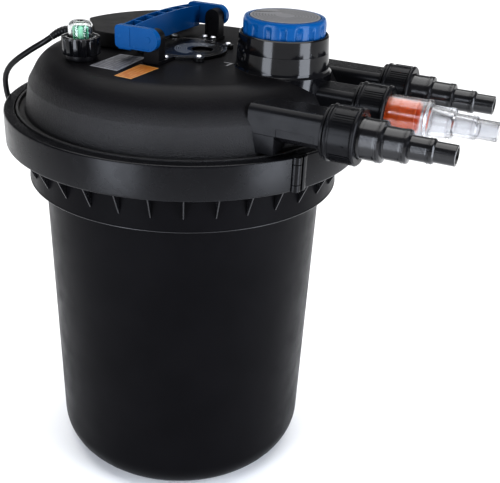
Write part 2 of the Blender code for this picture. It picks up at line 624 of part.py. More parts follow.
def gland():
    body = [(5.0, -8.0), (5.0, 0.3), (8.6, 0.3), (8.6, 6.5), (6.5, 6.5), (6.5, 16.0), (3.6, 16.0)]
    body += [(3.6, -8.0)]
    turned("cable_gland_body", body, black_satin("gland_plastic"), 10, GLAND_FOOT, GLAND_DIRECTION)
    nut = [(7.1, 7.0), (8.9, 7.0), (8.9, 14.0)] + arc(4.4, 14.5, 4.5, 0, 80, 3)
    nut += [(3.9, 19.0), (3.9, 16.5), (7.1, 16.5)]
    turned("cable_gland_nut", nut, black_gloss("gland_nut_plastic"), 12, GLAND_FOOT, GLAND_DIRECTION)


def lamp():
    """Lamp holder in the lid's centre bore, with the lamp inside its quartz sleeve below."""
    seat = LID_TOP - 2.5 + GAP
    holder = [(0.0, 466.0), (14.0, 466.0), (14.0, 452.0), (22.0, 452.0), (29.4, 458.0), (29.4, seat)]
    holder += [(41.8, seat), (41.8, LID_TOP), (0.0, LID_TOP)]
    turned("lamp_holder", holder, natural_plastic("holder_plastic"), 20)
    sleeve = [(0.0, 160.0), (9.0, 162.5), (12.5, 170.0), (12.5, 458.0), (11.0, 458.0), (11.0, 171.0)]
    sleeve += [(8.0, 164.5), (0.0, 162.0)]
    turned("quartz_sleeve", sleeve, material("quartz", (0.9, 0.95, 1.0), 0.03, 0.0, 0.3), 16)
    tube = [(0.0, 190.0), (6.0, 190.5), (8.0, 193.0), (8.0, 440.0), (9.0, 440.0), (9.0, 465.7), (0.0, 465.7)]
    turned("lamp", tube, material("lamp_glass", (0.85, 0.87, 0.95), 0.15), 12)


# ---------------------------------------------------------------- filter inside the bucket

STANDPIPE_R = 32.0
FOAM_R, FOAM_HEIGHT, FOAM_START = 134.0, 96.0, 36.5


def media():
    wall = tube_outline(STANDPIPE_R - 2.5, STANDPIPE_R, 30.3, 372.0)
    pipe = turned("standpipe", wall, natural_plastic("pipe_plastic"), 16)
    slots = []
    for level in range(5):
        z = 60.0 + level * 60.0
        slots += [((-40, -6, z), (40, 6, z + 30)), ((-6, -40, z), (6, 40, z + 30))]
    for number, pair in enumerate((slots[0::2], slots[1::2])):
        cut(pipe, blocks(f"pipe_slots_{number}", pair))
    bottom_grid()
    colours = {"lower": (0.02, 0.05, 0.16), "middle": (0.03, 0.03, 0.03), "upper": (0.05, 0.12, 0.08)}
    for number, (label, colour) in enumerate(colours.items()):
        z = FOAM_START + number * (FOAM_HEIGHT + 1.0)
        foam = material(f"foam_{label}", colour, 0.95)
        turned(f"foam_{label}", tube_outline(STANDPIPE_R + 1.0, FOAM_R, z, z + FOAM_HEIGHT), foam, 24)
    top_grid()


def spokes(name, inner, outer, low, high, count):
    """A wheel of bars between a hub radius and a rim radius."""
    bm = bmesh.new()
    for i in range(count):
        turn = Matrix.Rotation(math.radians(i * 360.0 / count + 15.0), 4, "Z")
        place = Matrix.Translation(((inner + outer) / 2, 0, (low + high) / 2))
        size = Matrix.Diagonal((outer - inner, 5.0, high - low, 1.0))
        bmesh.ops.create_cube(bm, size=1.0, matrix=turn @ place @ size)
    return add_mesh(bm, name, black_satin("helper"))


def grid(name, low, high, bore):
    """A round open grid: a rim, a hub with a bore, and bars between them."""
    rim, hub = 132.0, STANDPIPE_R + 7.0
    wheel = turned(name, tube_outline(rim - 6.0, rim, low, high), natural_plastic("grid_plastic"), 24)
    join(wheel, turned(f"{name}_hub", tube_outline(bore, hub, low, high), black_satin("helper"), 16))
    join(wheel, spokes(f"{name}_bars", hub - 2.0, rim - 3.0, low + 0.5, high - 0.5, 8))
    return wheel


def bottom_grid():
    wheel = grid("bottom_grid", 28.0, 36.0, 20.0)
    socket = rod_outline(STANDPIPE_R + 0.5, 30.0, 40.0)
    cut(wheel, turned("bottom_grid_socket", socket, black_satin("helper"), 16))
    places = [polar(90.0, 16.0 + 90.0 * i, 0.0) for i in range(4)]
    join(wheel, rods("bottom_grid_feet", 4.0, WALL + GAP, 32.0, places, (0, 0, 1), 9))


def top_grid():
    low = FOAM_START + 3 * (FOAM_HEIGHT + 1.0) + 0.5
    grid("top_grid", low, low + 7.0, STANDPIPE_R + 0.5)


# ---------------------------------------------------------------- mains cord

def along_gland(distance):
    return GLAND_FOOT + GLAND_DIRECTION * distance


RELIEF_ROUTE = [
    along_gland(19.3), along_gland(25.0), along_gland(31.0) + Vector((0, 0, -0.8)),
    along_gland(37.0) + Vector((0, 0, -3.2)), along_gland(42.6) + Vector((0, 0, -6.8)),
]

RELIEF_END_DIRECTION = (RELIEF_ROUTE[-1] - RELIEF_ROUTE[-2]).normalized()

CORD_ROUTE = [
    RELIEF_ROUTE[-1] + RELIEF_END_DIRECTION * (GAP + 0.2),
    RELIEF_ROUTE[-1] + RELIEF_END_DIRECTION * 10.0,
    Vector((-157.0, -54.0, 469.5)),
    Vector((-168.0, -56.0, 462.0)),
    Vector((-180.0, -56.5, 453.5)),
    Vector((-191.5, -55.0, 443.5)),
    Vector((-200.0, -52.0, 431.5)),
    Vector((-205.0, -47.0, 417.0)),
    Vector((-208.0, -40.0, 400.0)),
    Vector((-211.0, -27.0, 378.0)),
    Vector((-215.5, -6.0, 350.0)),
    Vector((-219.0, 20.0, 318.0)),
    Vector((-219.0, 46.0, 284.0)),
    Vector((-215.0, 68.0, 246.0)),
    Vector((-209.0, 86.0, 204.0)),
    Vector((-203.0, 99.0, 160.0)),
    Vector((-198.5, 108.0, 116.0)),
    Vector((-196.0, 114.0, 74.0)),
    Vector((-194.0, 119.0, 40.0)),
    Vector((-190.0, 126.0, 16.0)),
    Vector((-181.0, 135.5, 4.6)),
    Vector((-166.5, 142.6, 3.3)),
    Vector((-149.0, 145.7, 3.3)),
    Vector((-121.8, 146.0, 3.3)),
]


def smooth_route(points, spacing):
    """Points at an even spacing on a smooth curve through the route's own points."""
    dense = []
    for i in range(len(points) - 1):
        before, start = points[max(i - 1, 0)], points[i]
        end, after = points[i + 1], points[min(i + 2, len(points) - 1)]
        for k in range(16):
            t = k / 16
            bend = (2 * before - 5 * start + 4 * end - after) * t * t
            twist = (3 * start - before - 3 * end + after) * t ** 3
            dense.append(0.5 * (2 * start + (end - before) * t + bend + twist))
    dense.append(points[-1])
    total = sum((b - a).length for a, b in zip(dense, dense[1:]))
    count = max(2, round(total / spacing))
    even, walked, target, step = [dense[0]], 0.0, total / count, total / count
    for a, b in zip(dense, dense[1:]):
        length = (b - a).length
        while walked + length >= target - 1e-9 and len(even) < count:
            even.append(a.lerp(b, (target - walked) / length))
            target += step
        walked += length
    return even + [dense[-1]]


def cable(name, points, radius, mat, end_radius=None):
    """A round cable along points, tapering to end_radius where one is given."""
    data = bpy.data.curves.new(name, "CURVE")
    data.dimensions = "3D"
    data.bevel_depth = radius * MM
    data.bevel_resolution = 2
    data.use_fill_caps = True
    spline = data.splines.new("POLY")
    spline.points.add(len(points) - 1)
    for i, point in enumerate(points):
        spline.points[i].co = (*(point * MM), 1.0)
        if end_radius is not None:
            spline.points[i].radius = 1.0 + (end_radius / radius - 1.0) * i / (len(points) - 1)
    obj = bpy.data.objects.new(name, data)
    bpy.context.scene.collection.objects.link(obj)
    data.materials.append(mat)
    return obj


def mains():
    cable("strain_relief", smooth_route(RELIEF_ROUTE, 3.0), 5.6, rubber("relief_rubber"), CORD_R + 0.5)
    cable("mains_cord", smooth_route(CORD_ROUTE, 14.0), CORD_R, rubber("cord_rubber"))
    half = COIL_WIDTH / 2
    inner, outer, top = COIL_MEAN_R - half, COIL_MEAN_R + half, COIL_HEIGHT
    ring = [(inner, 3.0), (inner + 3.0, 0.2), (outer - 3.0, 0.2), (outer, 3.0), (outer, top - 3.0)]
    ring += [(outer - 3.0, top), (inner + 3.0, top), (inner, top - 3.0)]
    turned("cord_coil", ring, rubber("cord_rubber"), 24, COIL_CENTRE)
    plug()


PLUG_START = COIL_CENTRE + Vector((-28.6, 50.0, 19.3))


def plug():
    """Moulded earthed plug lying on the floor: tapered tail, round body, front face and two pins."""
    outline = [(0.0, 0.0), (4.4, 0.0), (6.0, 22.0), (12.0, 27.0), (17.5, 36.0), (19.0, 40.0), (19.0, 58.0),
               (17.5, 60.0), (0.0, 60.0)]
    body = turned("mains_plug", outline, rubber("plug_rubber"), 14, PLUG_START, (-1, 0, 0))
    pins = [PLUG_START + Vector((0, y, 0)) for y in (-9.5, 9.5)]
    join(body, rods("plug_pins", 2.4, 58.0, 78.0, pins, (-1, 0, 0), 8))


def build():
    clear_scene()
    bucket()
    clamp_ring()
    lid()
    side_duct("front_duct", -1)
    side_duct("back_duct", 1)
    lid_gasket()
    centre_cover()
    screws()
    for label, side in (("near", -1), ("far", 1)):
        handle_post(f"handle_post_{label}", side)
        pivot_pin(f"pivot_pin_{label}", side)
    bail_handle()
    valve()
    hose_connections()
    ballast()
    indicator()
    gland()
    lamp()
    media()
    mains()


build()
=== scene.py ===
import math

import bmesh
import bpy
from mathutils import Matrix, Vector


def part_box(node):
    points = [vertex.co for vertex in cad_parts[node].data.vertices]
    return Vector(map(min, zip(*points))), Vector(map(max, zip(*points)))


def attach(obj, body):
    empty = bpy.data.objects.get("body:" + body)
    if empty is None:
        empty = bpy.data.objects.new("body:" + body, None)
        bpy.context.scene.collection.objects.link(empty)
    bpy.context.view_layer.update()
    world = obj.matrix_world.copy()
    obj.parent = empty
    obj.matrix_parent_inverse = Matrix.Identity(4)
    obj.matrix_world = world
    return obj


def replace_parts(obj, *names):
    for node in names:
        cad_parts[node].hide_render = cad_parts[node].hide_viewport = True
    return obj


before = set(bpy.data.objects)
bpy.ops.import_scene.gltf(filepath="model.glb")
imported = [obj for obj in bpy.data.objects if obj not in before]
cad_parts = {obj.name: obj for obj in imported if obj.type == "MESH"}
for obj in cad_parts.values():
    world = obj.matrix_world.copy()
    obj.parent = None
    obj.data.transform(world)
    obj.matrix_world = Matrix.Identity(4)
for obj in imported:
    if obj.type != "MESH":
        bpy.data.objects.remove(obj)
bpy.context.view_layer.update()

# Looks of a pressurized pond filter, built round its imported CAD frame.
# Metres in the frame; outlines below are in millimetres and are scaled by MM. Hose connectors point along +X.

MM = 0.001

# Places read from the frame, in mm.


def span(node):
    low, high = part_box(node)
    return Vector(low) / MM, Vector(high) / MM


def middle(node):
    low, high = span(node)
    return (low + high) / 2


RING_LOW, RING_HIGH = span("clamp_ring_front")[0].z, span("clamp_ring_front")[1].z
VALVE = middle("valve_collar")
INDICATOR = middle("indicator_seat")
PORT_X = span("union_nut_middle")[0].x - 0.3
PORTS = {label: middle(f"union_nut_{label}") for label in ("front", "middle", "back")}
LID_TOP = span("centre_cover")[0].z - 0.3
PLATE_TOP = span("handle_post_near")[0].z + 3.4
HOUSING_TOP = span("ballast_housing")[1].z
PIVOT_Z = middle("pivot_pin_near").z
KNOB_TOP = span("valve_knob")[1].z
COIL = middle("cord_coil")
PLUG_START = Vector((span("mains_plug")[1].x, middle("mains_plug").y, middle("mains_plug").z))

HINGE_ANGLE = -28.0            # of the clamp ring, degrees round Z
CLOSURE_ANGLE = HINGE_ANGLE + 180.0
CORD_R = 3.1


# ---------------------------------------------------------------- materials

def fresh_material(name):
    """A new material, its node tree, its shader and the object's own coordinates."""
    mat = bpy.data.materials.new(name)
    mat.use_nodes = True
    tree = mat.node_tree
    return mat, tree, tree.nodes["Principled BSDF"], tree.nodes.new("ShaderNodeTexCoord").outputs["Object"]


def noise(tree, vector, scale, detail=4.0, rough=0.55):
    node = tree.nodes.new("ShaderNodeTexNoise")
    node.inputs["Scale"].default_value = scale
    node.inputs["Detail"].default_value = detail
    node.inputs["Roughness"].default_value = rough
    tree.links.new(vector, node.inputs["Vector"])
    return node.outputs["Fac"]


def ranged(tree, value, low, high, from_low=0.3, from_high=0.7):
    node = tree.nodes.new("ShaderNodeMapRange")
    node.inputs["From Min"].default_value = from_low
    node.inputs["From Max"].default_value = from_high
    node.inputs["To Min"].default_value = low
    node.inputs["To Max"].default_value = high
    tree.links.new(value, node.inputs["Value"])
    return node.outputs["Result"]


def maths(tree, operation, a, b=None):
    node = tree.nodes.new("ShaderNodeMath")
    node.operation = operation
    for socket, value in zip(node.inputs, (a, b)):
        if value is None:
            continue
        if isinstance(value, (int, float)):
            socket.default_value = value
        else:
            tree.links.new(value, socket)
    return node.outputs[0]


def times(tree, a, b):
    return maths(tree, "MULTIPLY", a, b)


def mixed(tree, factor, low, high):
    node = tree.nodes.new("ShaderNodeMix")
    node.data_type = "RGBA"
    node.inputs["A"].default_value = (*low, 1.0)
    node.inputs["B"].default_value = (*high, 1.0)
    tree.links.new(factor, node.inputs["Factor"])
    return node.outputs["Result"]


def bumped(tree, shader, height, distance, strength=1.0):
    node = tree.nodes.new("ShaderNodeBump")
    node.inputs["Strength"].default_value = strength
    node.inputs["Distance"].default_value = distance
    tree.links.new(height, node.inputs["Height"])
    tree.links.new(node.outputs["Normal"], shader.inputs["Normal"])


def coloured(tree, shader, factor, low, high):
    tree.links.new(mixed(tree, factor, low, high), shader.inputs["Base Color"])


def dulled(tree, shader, value, low, high):
    tree.links.new(ranged(tree, value, low, high), shader.inputs["Roughness"])


def cells(tree, vector, scale):
    node = tree.nodes.new("ShaderNodeTexVoronoi")
    node.inputs["Scale"].default_value = scale
    tree.links.new(vector, node.inputs["Vector"])
    return node.outputs["Distance"]


def xyz(tree, vector):
    node = tree.nodes.new("ShaderNodeSeparateXYZ")
    tree.links.new(vector, node.inputs[0])
    return node.outputs


def xy_from(tree, place, centre):
    """X and Y measured from a centre given in mm."""
    shift = tree.nodes.new("ShaderNodeVectorMath")
    shift.operation = "SUBTRACT"
    shift.inputs[1].default_value = (centre[0] * MM, centre[1] * MM, 0.0)
    tree.links.new(place, shift.inputs[0])
    outputs = xyz(tree, shift.outputs[0])
    return outputs["X"], outputs["Y"]


def moulded(name, dark, light, roughness, grain_size=0.0006, grain_depth=0.00004, spread=0.06, shine=0.5):
    """Moulded plastic: fine grain, faint flow mottling and an uneven sheen."""
    mat, tree, shader, place = fresh_material(name)
    shader.inputs["Specular IOR Level"].default_value = shine
    flow = noise(tree, place, 14.0)
    coloured(tree, shader, ranged(tree, flow, 0.0, 1.0), dark, light)
    smudge = noise(tree, place, 45.0, 6.0)
    dulled(tree, shader, smudge, roughness - spread, roughness + spread)
    grain = noise(tree, place, 1.0 / grain_size, 3.0)
    bumped(tree, shader, grain, grain_depth)
    return mat


def lid_material():
    """Satin plastic: leathery grain on the upright wall, much finer on the flat top."""
    mat, tree, shader, place = fresh_material("lid_grained_plastic")
    flow = noise(tree, place, 9.0)
    coloured(tree, shader, ranged(tree, flow, 0.0, 1.0), (0.0036, 0.0034, 0.0040), (0.0056, 0.0052, 0.0060))
    rise = xyz(tree, place)["Z"]
    wall = ranged(tree, rise, 1.0, 0.12, (LID_TOP - 16.0) * MM, (LID_TOP - 5.0) * MM)
    speckle = ranged(tree, noise(tree, place, 900.0, 3.0), 0.0, 1.0, 0.35, 0.65)
    height = times(tree, maths(tree, "ADD", cells(tree, place, 430.0), speckle), wall)
    bumped(tree, shader, height, 0.00026)
    smudge = ranged(tree, noise(tree, place, 30.0, 5.0), -0.03, 0.05)
    base = maths(tree, "ADD", times(tree, wall, 0.04), 0.40)
    tree.links.new(maths(tree, "ADD", base, smudge), shader.inputs["Roughness"])
    shine = ranged(tree, rise, 0.33, 0.07, (LID_TOP - 30.0) * MM, (LID_TOP - 15.0) * MM)
    tree.links.new(shine, shader.inputs["Specular IOR Level"])
    return mat


def metal(name, colour, roughness):
    mat, tree, shader, place = fresh_material(name)
    shader.inputs["Metallic"].default_value = 1.0
    wear = noise(tree, place, 700.0, 5.0)
    dull = tuple(0.82 * c for c in colour)
    coloured(tree, shader, ranged(tree, wear, 0.0, 1.0), dull, colour)
    dulled(tree, shader, wear, roughness - 0.04, roughness + 0.08)
    bumped(tree, shader, noise(tree, place, 1800.0, 2.0), 0.00001)
    return mat


def clear_plastic(name, tint, roughness=0.06):
    """Clear moulded plastic with faint flow lines and a slightly uneven surface."""
    mat, tree, shader, place = fresh_material(name)
    flow = noise(tree, place, 60.0, 4.0)
    pale = tuple(0.93 * c for c in tint)
    coloured(tree, shader, ranged(tree, flow, 0.0, 1.0), pale, tint)
    dulled(tree, shader, flow, roughness * 0.6, roughness * 1.6)
    shader.inputs["Transmission Weight"].default_value = 1.0
    shader.inputs["IOR"].default_value = 1.46
    bumped(tree, shader, noise(tree, place, 260.0, 3.0), 0.00012, 0.6)
    return mat


def rubber(name):
    return moulded(name, (0.012, 0.012, 0.012), (0.02, 0.02, 0.021), 0.55, 0.0009, 0.00005, 0.08)


def ringed_material(name, centre, first, pitch, count, printed, ground, roughness, wedge):
    """Plastic printed with thin concentric arcs round a centre (x, y in mm).

    The arcs fill a wedge, given by its middle and its half width in degrees.
    """
    mat, tree, shader, place = fresh_material(name)
    x, y = xy_from(tree, place, centre)
    radius = maths(tree, "SQRT", maths(tree, "ADD", times(tree, x, x), times(tree, y, y)))
    turn = maths(tree, "DIVIDE", maths(tree, "SUBTRACT", radius, first * MM), pitch * MM)
    line = maths(tree, "LESS_THAN", maths(tree, "FRACT", turn), 0.36)
    inside = times(tree, maths(tree, "GREATER_THAN", turn, 0.0), maths(tree, "LESS_THAN", turn, float(count)))
    towards, half = (math.radians(a) for a in wedge)
    ahead = maths(tree, "ADD", times(tree, x, math.cos(towards)), times(tree, y, math.sin(towards)))
    cosine = maths(tree, "DIVIDE", ahead, radius)
    in_wedge = maths(tree, "GREATER_THAN", cosine, math.cos(half))
    mask = times(tree, times(tree, line, inside), in_wedge)
    coloured(tree, shader, mask, ground, printed)
    smudge = noise(tree, place, 80.0, 5.0)
    dulled(tree, shader, smudge, roughness - 0.05, roughness + 0.07)
    bumped(tree, shader, noise(tree, place, 1500.0, 2.0), 0.00003)
    return mat


# ---------------------------------------------------------------- geometry

def finished(mesh, name, mat, body, smooth):
    mesh.shade_smooth()
    mesh.set_sharp_from_angle(angle=math.radians(smooth))
    obj = bpy.data.objects.new(name, mesh)
    bpy.context.scene.collection.objects.link(obj)
    mesh.materials.append(mat)
    if body is not None:
        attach(obj, body)
    return obj


def from_bmesh(bm, name, mat, body="vessel", smooth=35.0):
    bmesh.ops.recalc_face_normals(bm, faces=bm.faces)
    bmesh.ops.scale(bm, vec=(MM, MM, MM), verts=bm.verts)
    mesh = bpy.data.meshes.new(name)
    bm.to_mesh(mesh)
    bm.free()
    return finished(mesh, name, mat, body, smooth)


def arc(centre_r, centre_z, radius, start, end, parts):
    angles = [math.radians(start + (end - start) * i / parts) for i in range(parts + 1)]
    return [(centre_r + radius * math.cos(a), centre_z + radius * math.sin(a)) for a in angles]


def eased(outline, radius, parts=3):
    """The closed or axis-ended outline with its corners rounded.

    A point may carry its own radius as a third value.
    """
    points = [Vector(p[:2]) for p in outline]
    radii = [p[2] if len(p) > 2 else radius for p in outline]
    open_ended = points[0].x == 0.0 and points[-1].x == 0.0
    result = []
    for i, point in enumerate(points):
        if open_ended and i in (0, len(points) - 1):
            result.append(tuple(point))
            continue
        before = points[i - 1] - point
        after = points[(i + 1) % len(points)] - point
        bend = math.pi - before.angle(after, math.pi)
        if bend < math.radians(12.0) or radii[i] <= 0.0:
            result.append(tuple(point))
            continue
        reach = min(radii[i] * math.tan(bend / 2), before.length * 0.45, after.length * 0.45)
        start, end = point + before.normalized() * reach, point + after.normalized() * reach
        for k in range(parts + 1):
            t = k / parts
            result.append(tuple(start * (1 - t) ** 2 + point * 2 * t * (1 - t) + end * t ** 2))
    return result


def placed(at, direction):
    """Takes the origin to a point and Z to a direction."""
    return Matrix.Translation(Vector(at)) @ Vector(direction).to_track_quat("Z", "Y").to_matrix().to_4x4()


def move(bm, matrix):
    bmesh.ops.transform(bm, matrix=matrix, verts=bm.verts)


def oblong(left, right, low, high):
    return [(left, low), (right, low), (right, high), (left, high)]


def ring_of(bm, radius, z, count):
    return [bm.verts.new(polar(radius, 360.0 * i / count, z)) for i in range(count)]


def bridge(bm, rows):
    """Faces between closed rows of points."""
    for first, second in zip(rows, rows[1:]):
        for i in range(len(first)):
            j = (i + 1) % len(first)
            bm.faces.new((first[i], first[j], second[j], second[i]))


def lathe_bmesh(outline, steps, sweep=360.0, start=0.0):
    """An (r, z) outline swept round Z."""
    bm = bmesh.new()
    full = sweep >= 360.0
    rows = steps if full else steps + 1
    angles = [math.radians(start + sweep * i / steps) for i in range(rows)]
    columns = []
    for r, z in outline:
        if r < 1e-6:
            columns.append([bm.verts.new((0.0, 0.0, z))] * rows)
        else:
            columns.append([bm.verts.new((r * math.cos(a), r * math.sin(a), z)) for a in angles])
    open_ended = outline[0][0] < 1e-6 and outline[-1][0] < 1e-6
    count = len(columns) - 1 if open_ended else len(columns)
    for i in range(count):
        first, second = columns[i], columns[(i + 1) % len(columns)]
        for k in range(steps):
            j = (k + 1) % rows
            corners = [first[k], first[j], second[j], second[k]]
            unique = list(dict.fromkeys(corners))
            if len(unique) > 2:
                bm.faces.new(unique)
    if not full:
        bm.faces.new([column[0] for column in columns])
        bm.faces.new([column[-1] for column in columns][::-1])
    return bm


def lathe(
    name, outline, mat, steps=96, at=(0, 0, 0), direction=(0, 0, 1), body="vessel",
    sweep=360.0, start=0.0,
):
    bm = lathe_bmesh(outline, steps, sweep, start)
    move(bm, placed(at, direction))
    return from_bmesh(bm, name, mat, body)


def prism_bmesh(outline, low, high):
    bm = bmesh.new()
    face = bm.faces.new([bm.verts.new((x, y, low)) for x, y in outline])
    grown = bmesh.ops.extrude_face_region(bm, geom=[face])
    lifted = [v for v in grown["geom"] if isinstance(v, bmesh.types.BMVert)]
    bmesh.ops.translate(bm, vec=(0, 0, high - low), verts=lifted)
    return bm


def prism(name, outline, low, high, mat, turn=None, body="vessel"):
    """An extruded outline."""
    bm = prism_bmesh(outline, low, high)
    if turn is not None:
        move(bm, turn)
    return from_bmesh(bm, name, mat, body)


def soften(obj, width, parts=3, angle=35.0):
    bevel = obj.modifiers.new("edges", "BEVEL")
    bevel.width = width * MM
    bevel.segments = parts
    bevel.limit_method = "ANGLE"
    bevel.angle_limit = math.radians(angle)
    weighted = obj.modifiers.new("normals", "WEIGHTED_NORMAL")
    weighted.keep_sharp = True


def box_bmesh(low, high):
    return prism_bmesh(oblong(low[0], high[0], low[1], high[1]), low[2], high[2])


def merged(bms):
    """Several bmeshes as one."""
    result = bmesh.new()
    for bm in bms:
        mesh = bpy.data.meshes.new("part")
        bm.to_mesh(mesh)
        bm.free()
        result.from_mesh(mesh)
        bpy.data.meshes.remove(mesh)
    return result


def carved(obj, cutters, operation="DIFFERENCE"):
    """Cuts bmeshes (mm) away from an object, or joins them to it, for good."""
    for bm in cutters:
        tool = from_bmesh(bm, "tool", obj.data.materials[0], None)
        change = obj.modifiers.new("cut", "BOOLEAN")
        change.operation = operation
        change.object = tool
        change.solver = "EXACT"
        bpy.context.view_layer.update()
        result = bpy.data.meshes.new_from_object(obj.evaluated_get(bpy.context.evaluated_depsgraph_get()))
        obj.modifiers.clear()
        old = obj.data
        obj.data = result
        bpy.data.meshes.remove(old)
        bpy.data.objects.remove(tool, do_unlink=True)
    obj.data.shade_smooth()
    obj.data.set_sharp_from_angle(angle=math.radians(35.0))
    return obj


def rod_bmesh(radius, start, end, at, direction=(0, 0, 1), steps=32):
    bm = lathe_bmesh(oblong(0.0, radius, start, end), steps)
    move(bm, placed(at, direction))
    return bm


def polar(radius, degrees, z=0.0):
    a = math.radians(degrees)
    return Vector((radius * math.cos(a), radius * math.sin(a), z))


def about_z(degrees):
    return Matrix.Rotation(math.radians(degrees), 4, "Z")


# Takes an outline's X, Y to the frame's Y, Z and its height to X.
CROSSWAYS = Matrix(((0, 0, 1, 0), (1, 0, 0, 0), (0, 1, 0, 0), (0, 0, 0, 1)))


def upright(y):
    """Takes an outline's X, Y to the frame's X, Z and its height to Y, starting at y."""
    return Matrix.Translation((0, y, 0)) @ Matrix(((1, 0, 0, 0), (0, 0, 1, 0), (0, 1, 0, 0), (0, 0, 0, 1)))


# ---------------------------------------------------------------- camera, floor and light

CAMERA_LENS, SENSOR_WIDTH = 59.85, 36.0     # mm
CAMERA_PLACE, CAMERA_AIM = Vector((0.4238, -0.7644, 0.6934)), Vector((0.0707, 0.0314, 0.2584))
CAMERA_ROLL = 2.92                          # degrees

# Radius and height in mm: a flat floor that rises like a bowl far outside every view.
FLOOR_RINGS = (
    (4000.0, 0.0), (12000.0, 0.0), (18000.0, 200.0), (23000.0, 900.0), (27000.0, 2400.0), (30000.0, 5000.0),
)
FLOOR_STEPS = 96

SKY_COLOUR, SKY_STRENGTH = (0.97, 0.98, 1.0, 1.0), 0.14
OVERHEAD_STRENGTH, OVERHEAD_SPREAD = 3.3, 70.0
OVERHEAD_TILT = (-14.0, -6.0)               # degrees round X and Y
SOFTBOX_AIM, SOFTBOX_HEIGHT = Vector((0.0, 0.0, 0.42)), 1.1
SOFTBOX_COLOUR = (0.85, 0.90, 1.0)
# Place, width and power of each softbox.
SOFTBOXES = {
    "left_softbox": ((-0.15, -0.98, 0.45), 0.40, 11.5),
    "right_softbox": ((1.02, -0.20, 0.50), 0.46, 13.5),
}


def camera():
    data = bpy.data.cameras.new("camera")
    data.lens, data.sensor_width = CAMERA_LENS, SENSOR_WIDTH
    obj = bpy.data.objects.new("camera", data)
    bpy.context.scene.collection.objects.link(obj)
    roll = Matrix.Rotation(math.radians(CAMERA_ROLL), 3, "Z")
    turn = (CAMERA_AIM - CAMERA_PLACE).to_track_quat("-Z", "Y").to_matrix() @ roll
    obj.matrix_world = Matrix.Translation(CAMERA_PLACE) @ turn.to_4x4()
    bpy.context.scene.camera = obj


def studio():
    floor = bmesh.new()
    rings = [ring_of(floor, radius, height, FLOOR_STEPS) for radius, height in FLOOR_RINGS]
    floor.faces.new(rings[0])
    bridge(floor, rings)
    mat, tree, shader, place = fresh_material("floor_paint")
    coloured(
        tree, shader, ranged(tree, noise(tree, place, 3.0), 0.0, 1.0), (0.86, 0.86, 0.86), (0.9, 0.9, 0.9))
    shader.inputs["Roughness"].default_value = 0.95
    shader.inputs["Specular IOR Level"].default_value = 0.1
    from_bmesh(floor, "floor", mat, None)
    world = bpy.data.worlds.new("studio")
    world.use_nodes = True
    sky = world.node_tree.nodes["Background"]
    sky.inputs["Color"].default_value = SKY_COLOUR
    sky.inputs["Strength"].default_value = SKY_STRENGTH
    bpy.context.scene.world = world
    bpy.context.scene.view_settings.view_transform = "Standard"
    bpy.context.scene.view_settings.look = "Medium High Contrast"
    overhead()
    for name, (place, width, power) in SOFTBOXES.items():
        softbox(name, Vector(place), width, power)


def overhead():
    """Very soft light from high above, like a large diffusing ceiling."""
    data = bpy.data.lights.new("overhead", "SUN")
    data.energy = OVERHEAD_STRENGTH
    data.angle = math.radians(OVERHEAD_SPREAD)
    obj = bpy.data.objects.new("overhead", data)
    bpy.context.scene.collection.objects.link(obj)
    obj.rotation_euler = (*(math.radians(a) for a in OVERHEAD_TILT), 0.0)


def softbox(name, place, width, power):
    data = bpy.data.lights.new(name, "AREA")
    data.shape = "RECTANGLE"
    data.size, data.size_y = width, SOFTBOX_HEIGHT
    data.energy = power
    data.color = SOFTBOX_COLOUR
    obj = bpy.data.objects.new(name, data)
    obj.visible_camera = False
    bpy.context.scene.collection.objects.link(obj)
    turn = (SOFTBOX_AIM - place).to_track_quat("-Z", "Y").to_matrix()
    obj.matrix_world = Matrix.Translation(place) @ turn.to_4x4()


# ---------------------------------------------------------------- mains cord

TURN_PITCH, LAYER_PITCH = 6.4, 6.2
COIL_R = 37.2
RELIEF_ROUTE = [
    (-0.11907, -0.03204, 0.4900), (-0.12349, -0.03565, 0.4900), (-0.12813, -0.03944, 0.4892),
    (-0.13278, -0.04324, 0.4868), (-0.13711, -0.04679, 0.4832),
]
CORD_ROUTE = [
    (-0.13744, -0.04706, 0.48293), (-0.14361, -0.05212, 0.47779), (-0.1570, -0.0540, 0.4695),
    (-0.1680, -0.0560, 0.4620), (-0.1800, -0.0565, 0.4535), (-0.1915, -0.0550, 0.4435),
    (-0.2000, -0.0520, 0.4315), (-0.2050, -0.0470, 0.4170), (-0.2080, -0.0400, 0.4000),
    (-0.2110, -0.0270, 0.3780), (-0.2155, -0.0060, 0.3500), (-0.2190, 0.0200, 0.3180),
    (-0.2190, 0.0460, 0.2840), (-0.2150, 0.0680, 0.2460), (-0.2090, 0.0860, 0.2040),
    (-0.2030, 0.0990, 0.1600), (-0.1985, 0.1080, 0.1160), (-0.1960, 0.1140, 0.0740),
    (-0.1940, 0.1190, 0.0400), (-0.1900, 0.1260, 0.0160), (-0.1810, 0.1355, 0.0046),
    (-0.1665, 0.1426, 0.0033), (-0.1490, 0.1457, 0.0033), (-0.1218, 0.1460, 0.0033)]


def smooth_route(points, spacing):
    """Points at an even spacing on a smooth curve through the route's own points."""
    points = [Vector(p) for p in points]
    dense = []
    for i in range(len(points) - 1):
        before, start = points[max(i - 1, 0)], points[i]
        end, after = points[i + 1], points[min(i + 2, len(points) - 1)]
        for k in range(16):
            t = k / 16
            dense.append(
                0.5 * ((2 * start) + (end - before) * t + (2 * before - 5 * start + 4 * end - after) * t * t
                + (3 * start - before - 3 * end + after) * t ** 3))
    dense.append(points[-1])
    total = sum((b - a).length for a, b in zip(dense, dense[1:]))
    count = max(2, round(total / spacing))
    even, walked, target = [dense[0]], 0.0, total / count
    step = target
    for a, b in zip(dense, dense[1:]):
        length = (b - a).length
        while walked + length >= target - 1e-9 and len(even) < count:
            even.append(a.lerp(b, (target - walked) / length))
            target += step
        walked += length
    return even + [dense[-1]]


def eased_step(t):
    t = min(max(t, 0.0), 1.0)
    return t * t * (3 - 2 * t)


